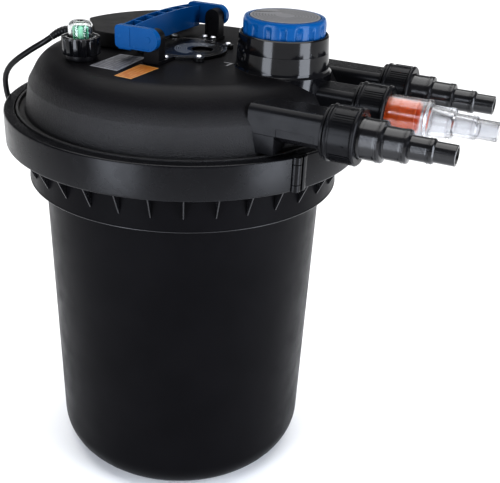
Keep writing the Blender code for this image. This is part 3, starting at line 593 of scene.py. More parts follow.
def coil_points():
    """The coil's turns in mm: flat layers wound inwards and outwards by turns."""
    columns, layers, blend, per_layer = 5, 4, 60.0, 1680.0
    first, last = -90.0, 6570.0
    points = []
    angle = first
    while angle <= last:
        layer = min(int((angle - first) // per_layer), layers - 1)
        walked = angle - first - layer * per_layer
        moved = sum(eased_step((walked - (360.0 * k - 2 * blend)) / blend) for k in range(1, columns))
        rise = eased_step((walked - (per_layer - blend)) / blend) if layer < layers - 1 else 0.0
        column = moved if layer % 2 == 0 else columns - 1 - moved
        radius = COIL_R + ((columns - 1) / 2 - column) * TURN_PITCH
        height = CORD_R + 0.2 + (layer + rise) * LAYER_PITCH
        points.append(Vector((COIL.x, COIL.y, 0.0)) + polar(radius, angle, height))
        angle += 12.0
    return points


def cord_curve(name, points, radius, mat, radii=None):
    """A round cable along points in metres."""
    data = bpy.data.curves.new(name, "CURVE")
    data.dimensions = "3D"
    data.bevel_depth = radius * MM
    data.bevel_resolution = 5
    data.use_fill_caps = True
    spline = data.splines.new("POLY")
    spline.points.add(len(points) - 1)
    for i, point in enumerate(points):
        spline.points[i].co = (*point, 1.0)
        if radii is not None:
            spline.points[i].radius = radii[i]
    obj = bpy.data.objects.new(name, data)
    bpy.context.scene.collection.objects.link(obj)
    data.materials.append(mat)
    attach(obj, "vessel")
    return obj


def mains_cord():
    cord_rubber = moulded(
        "cord_sheath", (0.0035, 0.0035, 0.0040), (0.0055, 0.0055, 0.0062), 0.32, 0.0008, 0.00003, shine=0.2)
    free = smooth_route(CORD_ROUTE, 0.008)
    turns = [p * MM for p in coil_points()]
    tail = [
        Vector((COIL.x - 14.0, COIL.y + 50.2, 21.2)) * MM, Vector((COIL.x - 23.0, COIL.y + 50.1, 19.7)) * MM,
        Vector((COIL.x - 31.0, COIL.y + 50.0, PLUG_START.z)) * MM]
    cord = cord_curve("mains_lead", free + turns[3:] + tail, CORD_R, cord_rubber)
    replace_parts(cord, "mains_cord", "cord_coil")
    relief = strain_relief(cord_rubber)
    fabric = moulded("tie_fabric", (0.02, 0.02, 0.022), (0.035, 0.035, 0.038), 0.8, 0.0007, 0.0001)
    ties = [cord_tie(f"cord_tie_{number}", angle, fabric) for number, angle in enumerate((20.0, 200.0), 1)]
    [relief] + mains_plug() + ties


def strain_relief(mat):
    """Tapered boot with shallow rings, bending down where the lead starts to drop."""
    path = smooth_route(RELIEF_ROUTE, 0.0004)
    count = len(path) - 1
    radii = []
    for i in range(count + 1):
        t = i / count
        ring = 0.05 if 0.15 < t < 0.95 and (i // 4) % 2 == 0 else 0.0
        radii.append(1.0 + (3.6 / 5.6 - 1.0) * t - ring)
    boot = cord_curve("cord_boot", path, 5.6, mat, radii)
    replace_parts(boot, "strain_relief")
    return boot


def cord_tie(name, angle, fabric):
    """Thin strap round the coil."""
    inner, outer, top = COIL_R - 16.4, COIL_R + 16.4, 25.4
    loop = [(inner - 0.7, 0.02), (outer + 0.7, 0.02), (outer + 0.7, top + 0.7), (inner - 0.7, top + 0.7)]
    hole = [(inner, 0.18), (outer, 0.18), (outer, top), (inner, top)]
    bm = bmesh.new()
    rows = []
    for half in (-4.0, 4.0):
        outside = [bm.verts.new((r, half, z)) for r, z in eased(loop, 2.0)]
        inside = [bm.verts.new((r, half, z)) for r, z in eased(hole, 1.5)]
        rows.append((outside, inside))
    (out_a, in_a), (out_b, in_b) = rows
    count = len(out_a)
    for i in range(count):
        j = (i + 1) % count
        bm.faces.new((out_a[i], out_a[j], out_b[j], out_b[i]))
        bm.faces.new((in_a[j], in_a[i], in_b[i], in_b[j]))
        bm.faces.new((out_a[j], out_a[i], in_a[i], in_a[j]))
        bm.faces.new((out_b[i], out_b[j], in_b[j], in_b[i]))
    move(bm, Matrix.Translation((COIL.x, COIL.y, 0.0)) @ about_z(angle))
    return from_bmesh(bm, name, fabric)


def mains_plug():
    """Moulded earthed plug: ribbed tail, gripping scallops, a flat face and two round pins."""
    shell = moulded("plug_rubber", (0.011, 0.011, 0.012), (0.016, 0.016, 0.017), 0.45, 0.0008, 0.00005)
    face_x = 60.0
    body = [(0.0, 0.2), (4.2, 0.2)]
    for k in range(5):
        body += [
            (4.4 + 0.3 * k, 2.5 + 3.6 * k), (4.4 + 0.3 * k, 4.4 + 3.6 * k), (3.9 + 0.3 * k, 4.7 + 3.6 * k),
            (3.9 + 0.3 * k, 5.8 + 3.6 * k)]
    body += [
        (6.0, 22.0), (12.0, 27.0), (17.5, 36.0), (18.9, 40.0), (18.9, 57.0), (17.6, face_x - 0.3),
        (0.0, face_x - 0.3)]
    plug = lathe("plug_body", eased(body, 0.8), shell, 72, PLUG_START, (-1, 0, 0))
    grips = []
    for k in range(8):
        for side in (-1, 1):
            at = PLUG_START + Vector((-(39.0 + 2.2 * k), side * 19.6, 0.0))
            grips.append(rod_bmesh(0.8, -9.0, 9.0, at, (0, 0, 1), 10))
    carved(plug, [merged(grips)])
    pins = []
    for side in (-1, 1):
        pin = lathe_bmesh(eased(oblong(0.0, 2.35, face_x - 2.0, 77.6), 1.6, 5), 28)
        move(pin, placed(PLUG_START + Vector((0, side * 9.5, 0)), (-1, 0, 0)))
        pins.append(pin)
    metal_pins = from_bmesh(
        merged(pins), "plug_pins", metal("pin_nickel", (0.72, 0.70, 0.66), 0.2))
    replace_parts(plug, "mains_plug")
    return [plug, metal_pins]


camera()
studio()
mains_cord()


# ---------------------------------------------------------------- vessel

satin = moulded("satin_black", (0.0032, 0.0031, 0.0038), (0.0048, 0.0046, 0.0054), 0.36, shine=0.12)
gloss = moulded(
    "gloss_black", (0.0035, 0.0035, 0.0042), (0.005, 0.005, 0.006), 0.12, 0.004, 0.00001, 0.03, shine=0.3)
blue = moulded(
    "blue_plastic", (0.0004, 0.055, 0.180), (0.0006, 0.067, 0.212), 0.24, 0.0007, 0.00003, shine=0.16)
chrome = metal("screw_chrome", (0.90, 0.90, 0.92), 0.32)


def bucket():
    shell_material = moulded(
        "bucket_plastic", (0.0030, 0.0029, 0.0035), (0.0046, 0.0044, 0.0052), 0.34, 0.0009, 0.00006,
        shine=0.035)
    corner = arc(107.6, 38.7, 38.7, -90, 0, 24)
    inner_corner = arc(107.6, 38.7, 34.7, 0, -90, 12)
    foot = [(0.0, 1.0), (7.0, 1.0), (7.6, 0.0), (86.0, 0.0), (86.6, 1.4), (92.0, 1.4), (92.6, 0.0)]
    outline = foot + corner
    outline += [
        (152.4, 380.0), (164.3, 380.0), (164.3, 347.0), (167.0, 347.0), (167.8, 348.2), (167.8, 393.5),
        (181.0, 395.5), (181.0, 401.0), (148.6, 401.0)]
    outline += inner_corner + [(0.0, 4.0)]
    shell = lathe("bucket_shell", eased(outline, 0.7), shell_material, 144)
    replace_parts(shell, "bucket")
    half, low, high, count = 0.75, 361.5, RING_LOW - 0.3, 34
    webs = []
    for i in range(count):
        web = prism_bmesh([(165.8, low), (168.9, low), (181.5, high), (165.8, high)], -half, half)
        move(web, about_z(HINGE_ANGLE - 1.5 + i * 360.0 / count) @ upright(0.0))
        webs.append(web)
    # Painted highlight: the ribs and the collar lip take a lighter, shinier copy of the bucket plastic so
    # their edges read as bright lines; the thin collar_lip ring, just proud of the collar's lower edge, is
    # there to carry that highlight line.
    rib_lip_highlight = moulded(
        "rib_lip_highlight_plastic", (0.006, 0.006, 0.007), (0.009, 0.009, 0.010), 0.24, 0.0009, 0.00002, shine=0.4)
    ribs = from_bmesh(merged(webs), "gusset_ribs", rib_lip_highlight)
    soften(ribs, 0.35, 2)
    lip = [(166.6, 346.8), (167.9, 346.8), (168.15, 347.1), (168.15, 347.8), (167.6, 348.2), (166.6, 348.2)]
    lathe("collar_lip", lip, rib_lip_highlight, 144)


LUG_OUTLINE = (
    (185.0, 1.0), (205.5, 1.0), (207.0, 2.5), (207.0, 7.5), (204.0, 9.0), (190.5, 9.0), (188.0, 17.0),
    (185.0, 17.0),)


def clamp_ring():
    ring_plastic = moulded(
        "ring_plastic", (0.0032, 0.0032, 0.0040), (0.0048, 0.0048, 0.0058), 0.26, 0.0009, 0.00005, shine=0.16)
    r, low, high, web = 190.0, RING_LOW, RING_HIGH, 184.5
    section = [
        (170.0, low, 0.4), (r, low, 2.2), (r, high, 2.4), (179.0, high, 0.8), (179.0, high - 4.3, 0.4),
        (web, high - 4.3, 0.6), (web, low + 4.4, 0.6), (170.0, low + 4.4, 0.4)]
    outline = eased(section, 0.8, 5)
    centre_z = (low + high) / 2
    spans = {
        "front": [(low, centre_z - 10.3), (centre_z + 10.3, high)],
        "back": [(centre_z - 10.0, centre_z + 10.0)]}
    for label, start, side in (("front", CLOSURE_ANGLE, -1), ("back", HINGE_ANGLE, 1)):
        half = lathe(f"ring_{label}", outline, ring_plastic, 96, sweep=176.4, start=start + 1.8)
        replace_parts(half, f"clamp_ring_{label}")
        parts = []
        for bottom, top in spans[label]:
            barrel = lathe_bmesh(eased(oblong(0.0, 5.2, bottom, top), 0.5), 40)
            bmesh.ops.translate(barrel, vec=polar(r - 0.5, HINGE_ANGLE), verts=barrel.verts)
            parts.append(barrel)
            arm = prism_bmesh(oblong(184.6, 186.6, 0.0, side * 8.5), bottom, top)
            move(arm, about_z(HINGE_ANGLE))
            parts.append(arm)
        if label == "back":
            wedge = prism_bmesh(
                [(185.0, 4.4), (193.6, 5.4), (193.0, 8.6), (190.3, 12.5), (185.0, 12.5)], low, high)
            move(wedge, about_z(HINGE_ANGLE))
            parts.append(wedge)
        knuckle = from_bmesh(merged(parts), f"ring_knuckle_{label}", ring_plastic)
        soften(knuckle, 0.7)
        lug = prism_bmesh([(x, -side * y) for x, y in LUG_OUTLINE], 397.0, 415.0)
        move(lug, about_z(CLOSURE_ANGLE))
        ends = from_bmesh(lug, f"ring_lug_{label}", ring_plastic)
        soften(ends, 0.9)


WING_OUTLINE = ((5.0, 10.0), (9.0, 10.4), (13.2, 13.5), (14.0, 17.0), (12.0, 19.0), (8.6, 18.6), (5.0, 15.0))


def closure():
    """Hexagonal bolt and wing nut that pull the ring's lugs together."""
    at, direction = polar(198.0, CLOSURE_ANGLE, 406.0), polar(1.0, CLOSURE_ANGLE + 90)
    place = placed(at, direction)
    head = prism_bmesh([tuple(polar(5.9, 60.0 * k).xy) for k in range(6)], -13.2, -9.3)
    thread = [(0.0, -9.5), (3.0, -9.5)]
    for k in range(16):
        thread += [(3.0, 3.0 + k), (2.6, 3.5 + k)]
    thread += [(2.4, 19.0), (0.0, 19.0)]
    shank = lathe_bmesh(thread, 24)
    bolt = merged([head, shank])
    move(bolt, place)
    body = from_bmesh(bolt, "closure_bolt", chrome)
    soften(body, 0.3, 2)
    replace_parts(body, "clamp_bolt")
    hub = lathe_bmesh(eased([(3.3, 9.4), (7.2, 9.4), (6.2, 15.5), (3.3, 15.5)], 0.6), 32)
    wings = []
    for side in (-1, 1):
        wing = prism_bmesh([(side * x, y) for x, y in WING_OUTLINE], -1.5, 1.5)
        move(wing, CROSSWAYS)
        wings.append(wing)
    nut = merged([hub] + wings)
    move(nut, place)
    piece = from_bmesh(nut, "wing_nut", satin)
    soften(piece, 0.5, 2)
    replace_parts(piece, "clamp_wing_nut")


# ---------------------------------------------------------------- lid

def lid():
    grained = lid_material()
    top = LID_TOP
    shoulder = arc(128.0, top - 32.0, 32.0, 90, 25, 60)
    outline = [(30.0, top - 10.5), (30.0, top - 2.5), (42.3, top - 2.5), (42.3, top)] + shoulder
    outline += [
        (163.2, 450.0), (164.8, 441.2), (166.3, 433.0), (167.8, 424.6), (168.4, 419.5, 1.5), (174.3, 419.5),
        (174.7, 423.8), (177.4, 423.8), (178.4, 418.2), (182.4, 417.9), (183.3, 416.5), (183.3, 404.0),
        (147.3, 404.0), (147.3, 386.0), (144.0, 386.0), (144.0, 409.5), (163.0, 411.0), (163.4, 424.0),
        (159.2, 450.0), (154.0, 461.0), (127.0, top - 4.0), (58.0, top - 4.0), (58.0, top - 10.5)]
    dome = lathe("lid_dome", eased(outline, 0.6), grained, 160)
    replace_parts(dome, "lid")
    turret()
    for label, port in PORTS.items():
        port_housing(label, port.y, 150.0 if label == "middle" else 122.0)
    arrow_mark()


def turret():
    """Round tower under the selector knob, flared a little where it grows out of the lid."""
    outline = [
        (38.0, 440.0), (50.0, 440.0), (49.5, LID_TOP - 1.5), (47.6, LID_TOP + 0.4), (46.7, LID_TOP + 2.6),
        (45.6, 497.25), (38.0, 497.25)]
    lathe("turret", eased(outline, 0.12), gloss, 96, (VALVE.x, VALVE.y, 0.0))


def port_housing(label, y, start):
    """Box over the round pipe of a hose connection: rounded top edges, a stepped panel along each side."""
    z = PORTS[label].z
    end, half, low, high, corner = PORT_X - 2.6, 20.0, z - 8.0, z + 18.0, 8.5
    section = arc(half - corner, high - corner, corner, 0, 90, 10)
    section += arc(corner - half, high - corner, corner, 90, 180, 10) + [(-half, low), (half, low)]
    turn = Matrix.Translation((0, y, 0)) @ CROSSWAYS
    housing = prism(f"port_housing_{label}", section, start, end, port_plastic(), turn)
    pipe = rod_bmesh(17.6, start + 2.0, end - 0.5, (0, y, z), (1, 0, 0), 64)
    carved(housing, [pipe], "UNION")
    if label != "middle":
        block = box_bmesh((start + 3.0, y - half + 0.03, RING_HIGH + 1.4), (149.0, y + half - 0.03, z + 3.0))
        carved(housing, [block], "UNION")
    panel_start = 150.5 if label != "middle" else 168.0
    for side in (-1, 1):
        ys = sorted((y + side * (half - 0.55), y + side * (half + 2.0)))
        carved(housing, [box_bmesh((panel_start, ys[0], low - 1.0), (end - 6.0, ys[1], z - 0.7))])
    soften(housing, 0.55, 3, 30.0)
    outline = [
        (15.6, -9.0), (18.4, -9.0), (18.4, -3.0), (24.6, -3.0), (24.6, -0.3), (20.2, -0.3), (20.2, 16.8),
        (15.6, 16.8)]
    flare = lathe_bmesh(eased(outline, 0.5), 72)
    move(flare, placed((PORT_X, y, z), (1, 0, 0)))
    from_bmesh(flare, f"port_flange_{label}", port_plastic())


def port_plastic():
    return bpy.data.materials.get("port_plastic") or moulded(
        "port_plastic", (0.0052, 0.0052, 0.0060), (0.0080, 0.0080, 0.0090), 0.26, 0.0008, 0.00003, shine=0.09)


def arrow_mark():
    """Small moulded arrowhead on the lid beside the knob, made of two strokes."""
    pale = moulded("arrow_paint", (0.14, 0.14, 0.145), (0.19, 0.19, 0.195), 0.5)
    outline = [(55.6, -20.7), (66.0, -20.7), (65.2, -32.4), (62.9, -32.4), (63.4, -22.9), (55.6, -22.2)]
    prism("arrow_mark", outline[::-1], LID_TOP, LID_TOP + 0.25, pale)


# ---------------------------------------------------------------- centre cover and handle

COVER_SCREWS = (45.0, 135.0, 225.0, 315.0)
POST_SCREWS = ((5.0, 51.5), (-5.0, 51.5), (5.0, -51.5), (-5.0, -51.5))


def centre_cover():
    """Thin cover plate with four screw ears, an off-centre hole and a printed crescent of arcs."""
    low, top, hole_x = LID_TOP + 0.3, PLATE_TOP, 19.0
    printed = ringed_material(
        "cover_print", (hole_x - 3.5, 0.0), 13.2, 2.3, 6, (0.20, 0.215, 0.24), (0.0055, 0.0055, 0.0062), 0.22,
        (172.0, 96.0))
    outline = eased(
        [(0.0, low), (43.0, low), (43.0, top - 0.2), (40.6, top - 0.2), (40.0, top - 0.9), (38.8, top - 0.9),
        (38.2, top), (0.0, top)], 0.35)
    plate = lathe("cover_plate", outline, printed, 128)
    ears = merged([rod_bmesh(5.6, low + 0.1, top + 0.5, polar(46.5, a)) for a in COVER_SCREWS])
    carved(plate, [ears], "UNION")
    carved(plate, [rod_bmesh(11.0, low - 5.0, top + 5.0, (hole_x, 0, 0), steps=64)])
    soften(plate, 0.35, 2)
    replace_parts(plate, "centre_cover")
    rim = lathe(
        "cover_hole_rim", eased(oblong(11.0, 12.0, low + 0.2, top + 0.3), 0.4), gloss, 64, (hole_x, 0, 0))
    soften(rim, 0.1, 1)
    well = [
        (0.0, LID_TOP - 0.3), (11.0, LID_TOP - 0.3), (11.0, LID_TOP + 0.9), (5.0, LID_TOP + 0.9),
        (4.5, LID_TOP + 0.1), (0.0, LID_TOP + 0.1)]
    lathe("cover_hole_floor", eased(well, 0.3), satin, 48, (hole_x, 0, 0))


def screw(name, place, seat):
    """Pan-head screw with a cross recess."""
    head = eased(
        [(0.0, seat - 4.0), (1.5, seat - 4.0), (1.5, seat), (3.3, seat), (3.2, seat + 1.0), (2.4, seat + 1.8),
        (0.0, seat + 2.15)], 0.35)
    body = lathe(f"{name}_head", head, chrome, 32, place)
    for low, high in (((-1.8, -0.35), (1.8, 0.35)), ((-0.35, -1.8), (0.35, 1.8))):
        slot = box_bmesh((*low, seat + 0.9), (*high, seat + 4.0))
        move(slot, Matrix.Translation(place) @ about_z(place.x * 7.0))
        carved(body, [slot])
    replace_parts(body, name)


def screws():
    for number, angle in enumerate(COVER_SCREWS, 1):
        screw(f"cover_screw_{number}", polar(46.5, angle), PLATE_TOP + 0.9)
    for number, (x, y) in enumerate(POST_SCREWS, 1):
        screw(f"post_screw_{number}", Vector((x, y, 0.0)), PLATE_TOP + 0.3)


def handle_post(label, side):
    """Upright tombstone on a screwed foot, hollowed on its inner face below the pivot."""
    inner, outer, half = 57.5, 70.0, 8.5
    low = LID_TOP + 0.3
    tombstone = [(-half, low), (half, low)] + arc(0.0, PIVOT_Z, half, 0, 180, 24)
    start = inner if side > 0 else -outer
    post = prism(f"post_{label}", tombstone, 0.0, outer - inner, satin, upright(start))
    ys = sorted((side * 43.6, side * (outer - 0.5)))
    carved(post, [box_bmesh((-10.0, ys[0], low + 0.05), (10.0, ys[1], PLATE_TOP))], "UNION")
    hollow = [
        (-6.0, low + 7.0), (6.0, low + 7.0), (6.0, PIVOT_Z - 5.0), (0.0, PIVOT_Z + 0.5),
        (-6.0, PIVOT_Z - 5.0)]
    pocket = prism_bmesh(hollow, 0.0, 2.2)
    move(pocket, upright(inner - 1.0 if side > 0 else -inner - 1.2))
    carved(post, [pocket])
    soften(post, 0.8, 3, 30.0)
    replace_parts(post, f"handle_post_{label}")


def pivot_cap(label, side):
    """Steel pivot pin with its end showing in the handle's arm."""
    outline = eased(oblong(0.0, 3.5, 60.5, 74.3), 0.4)
    pin = lathe(f"pivot_{label}", outline, chrome, 32, (0, 0, PIVOT_Z), (0, side, 0))
    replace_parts(pin, f"pivot_pin_{label}")


def bail_handle():
    """Folding handle: a slightly arched grip with six open pockets, between two rounded arms."""
    arm_in, arm_out, back, front = 70.3, 77.3, span("bail_handle")[0].x, span("bail_handle")[0].x + 14.0
    rise = 3.0

    def crest(y, base, share=1.0):
        return base + rise * share * (1 - (y / arm_in) ** 2)

    ys = [-arm_in - 1.0 + (2 * arm_in + 2.0) * i / 24 for i in range(25)]
    top = [(y, crest(y, 512.0)) for y in ys]
    bottom = [(y, crest(y, 490.0, 0.4)) for y in reversed(ys)]
    grip = prism("bail", top + bottom, back, front, blue, CROSSWAYS, body="bail")
    arms = []
    for side in (-1, 1):
        outline = arc(0.0, PIVOT_Z, 11.0, -90, 90, 28)
        outline += arc(back + 4.0, PIVOT_Z + 7.0, 4.0, 90, 180, 8)
        outline += arc(back + 4.0, PIVOT_Z - 7.0, 4.0, 180, 270, 8)
        arm = prism_bmesh(outline, 0.0, arm_out - arm_in)
        move(arm, upright(arm_in if side > 0 else -arm_out))
        arms.append(arm)
    carved(grip, arms, "UNION")
    length, web = 20.6, 1.8
    pockets = []
    for i in range(6):
        centre = (i - 2.5) * (length + web)
        pocket = box_bmesh(
            (back + 1.7, centre - length / 2, 496.0), (front - 1.7, centre + length / 2, 530.0))
        pockets.append(pocket)
    carved(grip, [merged(pockets)])
    carved(grip, [rod_bmesh(3.8, -arm_out + 2.5, arm_out - 2.5, (0, 0, PIVOT_Z), (0, 1, 0))])
    for side in (-1, 1):
        field = arc(0.0, PIVOT_Z, 9.6, -90, 90, 28)
        field += [(back + 17.0, PIVOT_Z + 9.6), (back + 17.0, PIVOT_Z - 9.6)]
        recess = prism_bmesh(field, 0.0, 2.0)
        move(recess, upright(arm_out - 0.6 if side > 0 else -arm_out - 1.4))
        carved(grip, [recess])
        boss = rod_bmesh(3.0, side * (arm_out - 2.0), side * (arm_out - 0.1), (0, 0, PIVOT_Z), (0, 1, 0))
        carved(grip, [boss], "UNION")
    soften(grip, 0.9, 3, 30.0)
    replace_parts(grip, "bail_handle")


# ---------------------------------------------------------------- selector valve

def valve():
    at = (VALVE.x, VALVE.y, 0.0)
    collar = eased(
        [(38.0, 497.3), (45.6, 497.3), (44.6, 512.3), (43.4, 513.4), (42.2, 513.4), (42.2, 503.0),
        (38.0, 503.0)], 0.12)
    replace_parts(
        lathe("valve_collar_ring", collar, gloss, 128, at), "valve_collar")
    knob()


def knob_outline(radius, depth, count, points):
    """A circle with count wide shallow scallops that have soft shoulders."""
    outline = []
    for i in range(count * points):
        phase = (i % points) / points
        dent = depth * eased_step((phase - 0.50) / 0.14) * (1 - eased_step((phase - 0.86) / 0.14))
        outline.append(polar(radius - dent, 360.0 * i / (count * points)).xy)
    return outline


def knob():
    """Scalloped cap with a rounded top edge and a printed disc let into its top."""
    top = KNOB_TOP
    bm = bmesh.new()
    count, points = 17, 16
    levels = [
        (506.0, 0.0, 1.0), (519.0, 0.0, 1.0), (522.5, 0.0, 0.9), (524.4, 0.05, 0.35), (525.6, 0.25, 0.0),
        (527.4, 0.7, 0.0), (528.6, 1.6, 0.0), (top, 3.2, 0.0)]
    rows = []
    for z, inset, share in levels:
        rows.append(
            [bm.verts.new((p.x, p.y, z)) for p in knob_outline(41.0 - inset, 1.5 * share, count, points)])
    recess = [(35.6, top), (35.2, top - 0.6), (35.2, top - 1.0)]
    for radius, z in recess:
        rows.append(ring_of(bm, radius, z, count * points))
    bridge(bm, rows)
    bm.faces.new(rows[-1])
    bm.faces.new(rows[0][::-1])
    bmesh.ops.translate(bm, vec=(VALVE.x, VALVE.y, 0), verts=bm.verts)
    cap = from_bmesh(bm, "knob_cap", blue, "valve", smooth=50.0)
    hollow, shaft = oblong(12.0, 37.0, 500.0, 521.0), oblong(0.0, 8.3, 500.0, 519.3)
    carved(cap, [lathe_at(hollow, VALVE), lathe_at(shaft, VALVE)])
    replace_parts(cap, "valve_knob")
    printed = ringed_material(
        "knob_print", (VALVE.x, VALVE.y), 10.0, 3.0, 8, (0.030, 0.030, 0.032), (0.13, 0.13, 0.137), 0.45,
        (-20.0, 150.0))
    disc = lathe(
        "knob_label", eased(oblong(0.0, 34.7, top - 0.9, top + 0.28), 0.25), printed, 96,
        (VALVE.x, VALVE.y, 0.0), body="valve")
    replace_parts(disc, "knob_disc")
    pointer = [(-34.0, 2.6), (-33.2, -1.4), (-9.0, 15.2)]
    shifted = [(x + VALVE.x, y + VALVE.y) for x, y in pointer]
    prism("knob_pointer", shifted, top + 0.2, top + 0.3, gloss, body="valve")


def lathe_at(outline, centre):
    bm = lathe_bmesh(outline, 64)
    bmesh.ops.translate(bm, vec=(centre.x, centre.y, 0), verts=bm.verts)
    return bm


# ---------------------------------------------------------------- hose connections

STEP_R = (18.8, 15.0, 11.0, 9.4)
STEP_LENGTH = (22.5, 21.7, 19.5)


def union_nut(label, place):
    """Nut with a grooved inner rim, a rolled outer lip, groups of fine ribs, and smooth panels."""
    black = port_plastic()
    outline = [
        (21.3, 0.4), (25.4, 0.4), (26.2, 1.2), (26.2, 2.8), (25.1, 3.4), (25.1, 5.2), (25.4, 5.8),
        (25.4, 25.0), (25.7, 25.6), (26.3, 26.4), (26.3, 28.0), (25.0, 29.3), (19.4, 29.3), (19.4, 25.0),
        (21.3, 25.0)]
    parts = [lathe_bmesh(eased(outline, 0.45), 96)]
    for group in range(4):
        middle_angle = group * 90.0 + 45.0
        for k in range(-4, 5):
            rib = box_bmesh((24.9, -0.42, 6.4), (26.05, 0.42, 24.6))
            move(rib, about_z(middle_angle + k * 5.6))
            parts.append(rib)
    for panel in range(4):
        tick = box_bmesh((25.0, -0.8, 17.5), (25.95, 0.8, 20.5))
        move(tick, about_z(panel * 90.0))
        parts.append(tick)
    bm = merged(parts)
    move(bm, placed(place, (1, 0, 0)) @ about_z(8.0))
    nut = from_bmesh(bm, f"nut_{label}", black, f"{label}_nut")
    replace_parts(nut, f"union_nut_{label}")


def hosetail(label, place, first_step, bore, mat):
    """Stepped connector: all steps but the last end in a double bead and carry fine turned lines."""
    ends = [first_step]
    for length in STEP_LENGTH:
        ends.append(ends[-1] + length)
    outline = [(bore, 20.1), (20.7, 20.1), (20.7, 24.4), (STEP_R[0], 24.4)]
    starts = [24.4] + ends[:-1]
    for number, (radius, start, end) in enumerate(zip(STEP_R, starts, ends)):
        if number:
            outline.append((radius, start + 1.0))
        position = 32.0 if number == 0 else start + 2.5
        while position < end - 7.0 and number < 3:
            outline += [
                (radius - 0.02, position), (radius - 0.16, position + 0.45), (radius - 0.02, position + 0.9)]
            position += 1.1
        if number < 3:
            outline += [
                (radius, end - 5.4), (radius + 0.55, end - 5.0), (radius + 0.55, end - 4.0),
                (radius, end - 3.6), (radius, end - 3.0), (radius + 0.45, end - 2.6),
                (radius + 0.45, end - 1.2), (radius - 0.3, end)]
        else:
            outline += [(radius, end - 0.5), (radius - 0.5, end)]
    outline += [(7.2, ends[3]), (7.0, ends[3] - 0.4), (8.4, ends[1]), (12.0, ends[0]), (bore, ends[0] - 3.0)]
    tail = lathe(f"tail_{label}", outline, mat, 72, place, (1, 0, 0), body=f"{label}_tail")
    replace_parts(tail, f"hosetail_{label}")


def hose_connections():
    clear = clear_plastic("clear_tail_plastic", (0.77, 0.78, 0.81), 0.16)
    tail_black = moulded(
        "tail_plastic", (0.0055, 0.0055, 0.0063), (0.0085, 0.0083, 0.0092), 0.19, 0.0008, 0.00003, shine=0.42)
    for label, port in PORTS.items():
        place = Vector((PORT_X, port.y, port.z))
        union_nut(label, place)
        if label == "middle":
            hosetail(label, place, 70.0, 16.2, clear)
        else:
            hosetail(label, place, 50.6, 15.6, tail_black)
        seal = lathe(
            f"seal_{label}", eased(oblong(15.8, 19.8, 17.4, 19.6), 0.6), rubber(f"seal_rubber_{label}"), 48,
            place, (1, 0, 0))
        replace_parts(seal, f"hose_seal_{label}")
    sight_sleeve()


def sight_sleeve():
    """Orange-red flow sleeve inside the clear connector, with raised bands."""
    red = moulded("sleeve_plastic", (0.98, 0.12, 0.003), (1.0, 0.155, 0.005), 0.24, 0.0009, 0.00004)
    place = Vector((PORT_X, PORTS["middle"].y, PORTS["middle"].z))
    outline = [
        (13.8, 26.6), (15.8, 26.6), (15.8, 28.6), (15.3, 29.0), (15.3, 40.2), (15.8, 40.6), (15.8, 42.6),
        (15.3, 43.0), (15.3, 55.0), (15.8, 55.4), (15.8, 57.4), (13.8, 57.4)]
    sleeve = lathe(
        "flow_sleeve", eased(outline, 0.25), red, 72, place, (1, 0, 0), body="middle_tail")
    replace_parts(sleeve, "sight_sleeve")


# ---------------------------------------------------------------- electrics

HOUSING_R, HOUSING_START, HOUSING_END = 126.5, 176.7, 120.0
HOUSING_CORNER = Vector((-86.0, -42.0))


def housing():
    """Raised lamp-electrics housing at the back of the lid: satin top, rounded rim."""
    low = LID_TOP + 0.3
    rim = arc(0.0, 0.0, HOUSING_R, HOUSING_START, HOUSING_END, 28)
    outline = rim + [(-51.0, rim[-1][1]), (-51.0, HOUSING_CORNER.y), tuple(HOUSING_CORNER)]
    top_plastic = moulded(
        "housing_plastic", (0.0068, 0.0064, 0.0066), (0.0098, 0.0092, 0.0095), 0.42, 0.0007, 0.00006,
        shine=0.12)
    body = prism("housing_cover", outline, low, HOUSING_TOP, top_plastic)
    soften(body, 1.6, 4, 25.0)
    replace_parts(body, "ballast_housing")


def cable_gland():
    edge = Vector(polar(HOUSING_R, HOUSING_START).xy) - HOUSING_CORNER
    foot = (HOUSING_CORNER + edge * 0.45).to_3d() + Vector((0, 0, 490.0))
    direction = Vector((-edge.y, edge.x, 0.0)).normalized()
    profile = [
        (5.0, -3.0), (5.0, 0.35), (8.6, 0.35), (8.6, 6.5), (6.6, 6.5), (6.6, 16.0), (3.6, 16.0), (3.6, -3.0)]
    body = lathe("gland_body", eased(profile, 0.4), satin, 48, foot, direction)
    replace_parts(body, "cable_gland_body")
    profile = [(7.1, 7.0), (8.8, 7.0), (8.8, 14.0)] + arc(4.4, 14.5, 4.4, 0, 80, 10)
    profile += [(4.0, 19.0), (4.0, 16.5), (7.1, 16.5)]
    parts = [lathe_bmesh(eased(profile, 0.3), 64)]
    for k in range(12):
        rib = box_bmesh((8.4, -0.5, 7.4), (9.0, 0.5, 13.6))
        move(rib, about_z(k * 30.0))
        parts.append(rib)
    bm = merged(parts)
    move(bm, placed(foot, direction))
    cap = from_bmesh(bm, "gland_nut", gloss)
    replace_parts(cap, "cable_gland_nut")


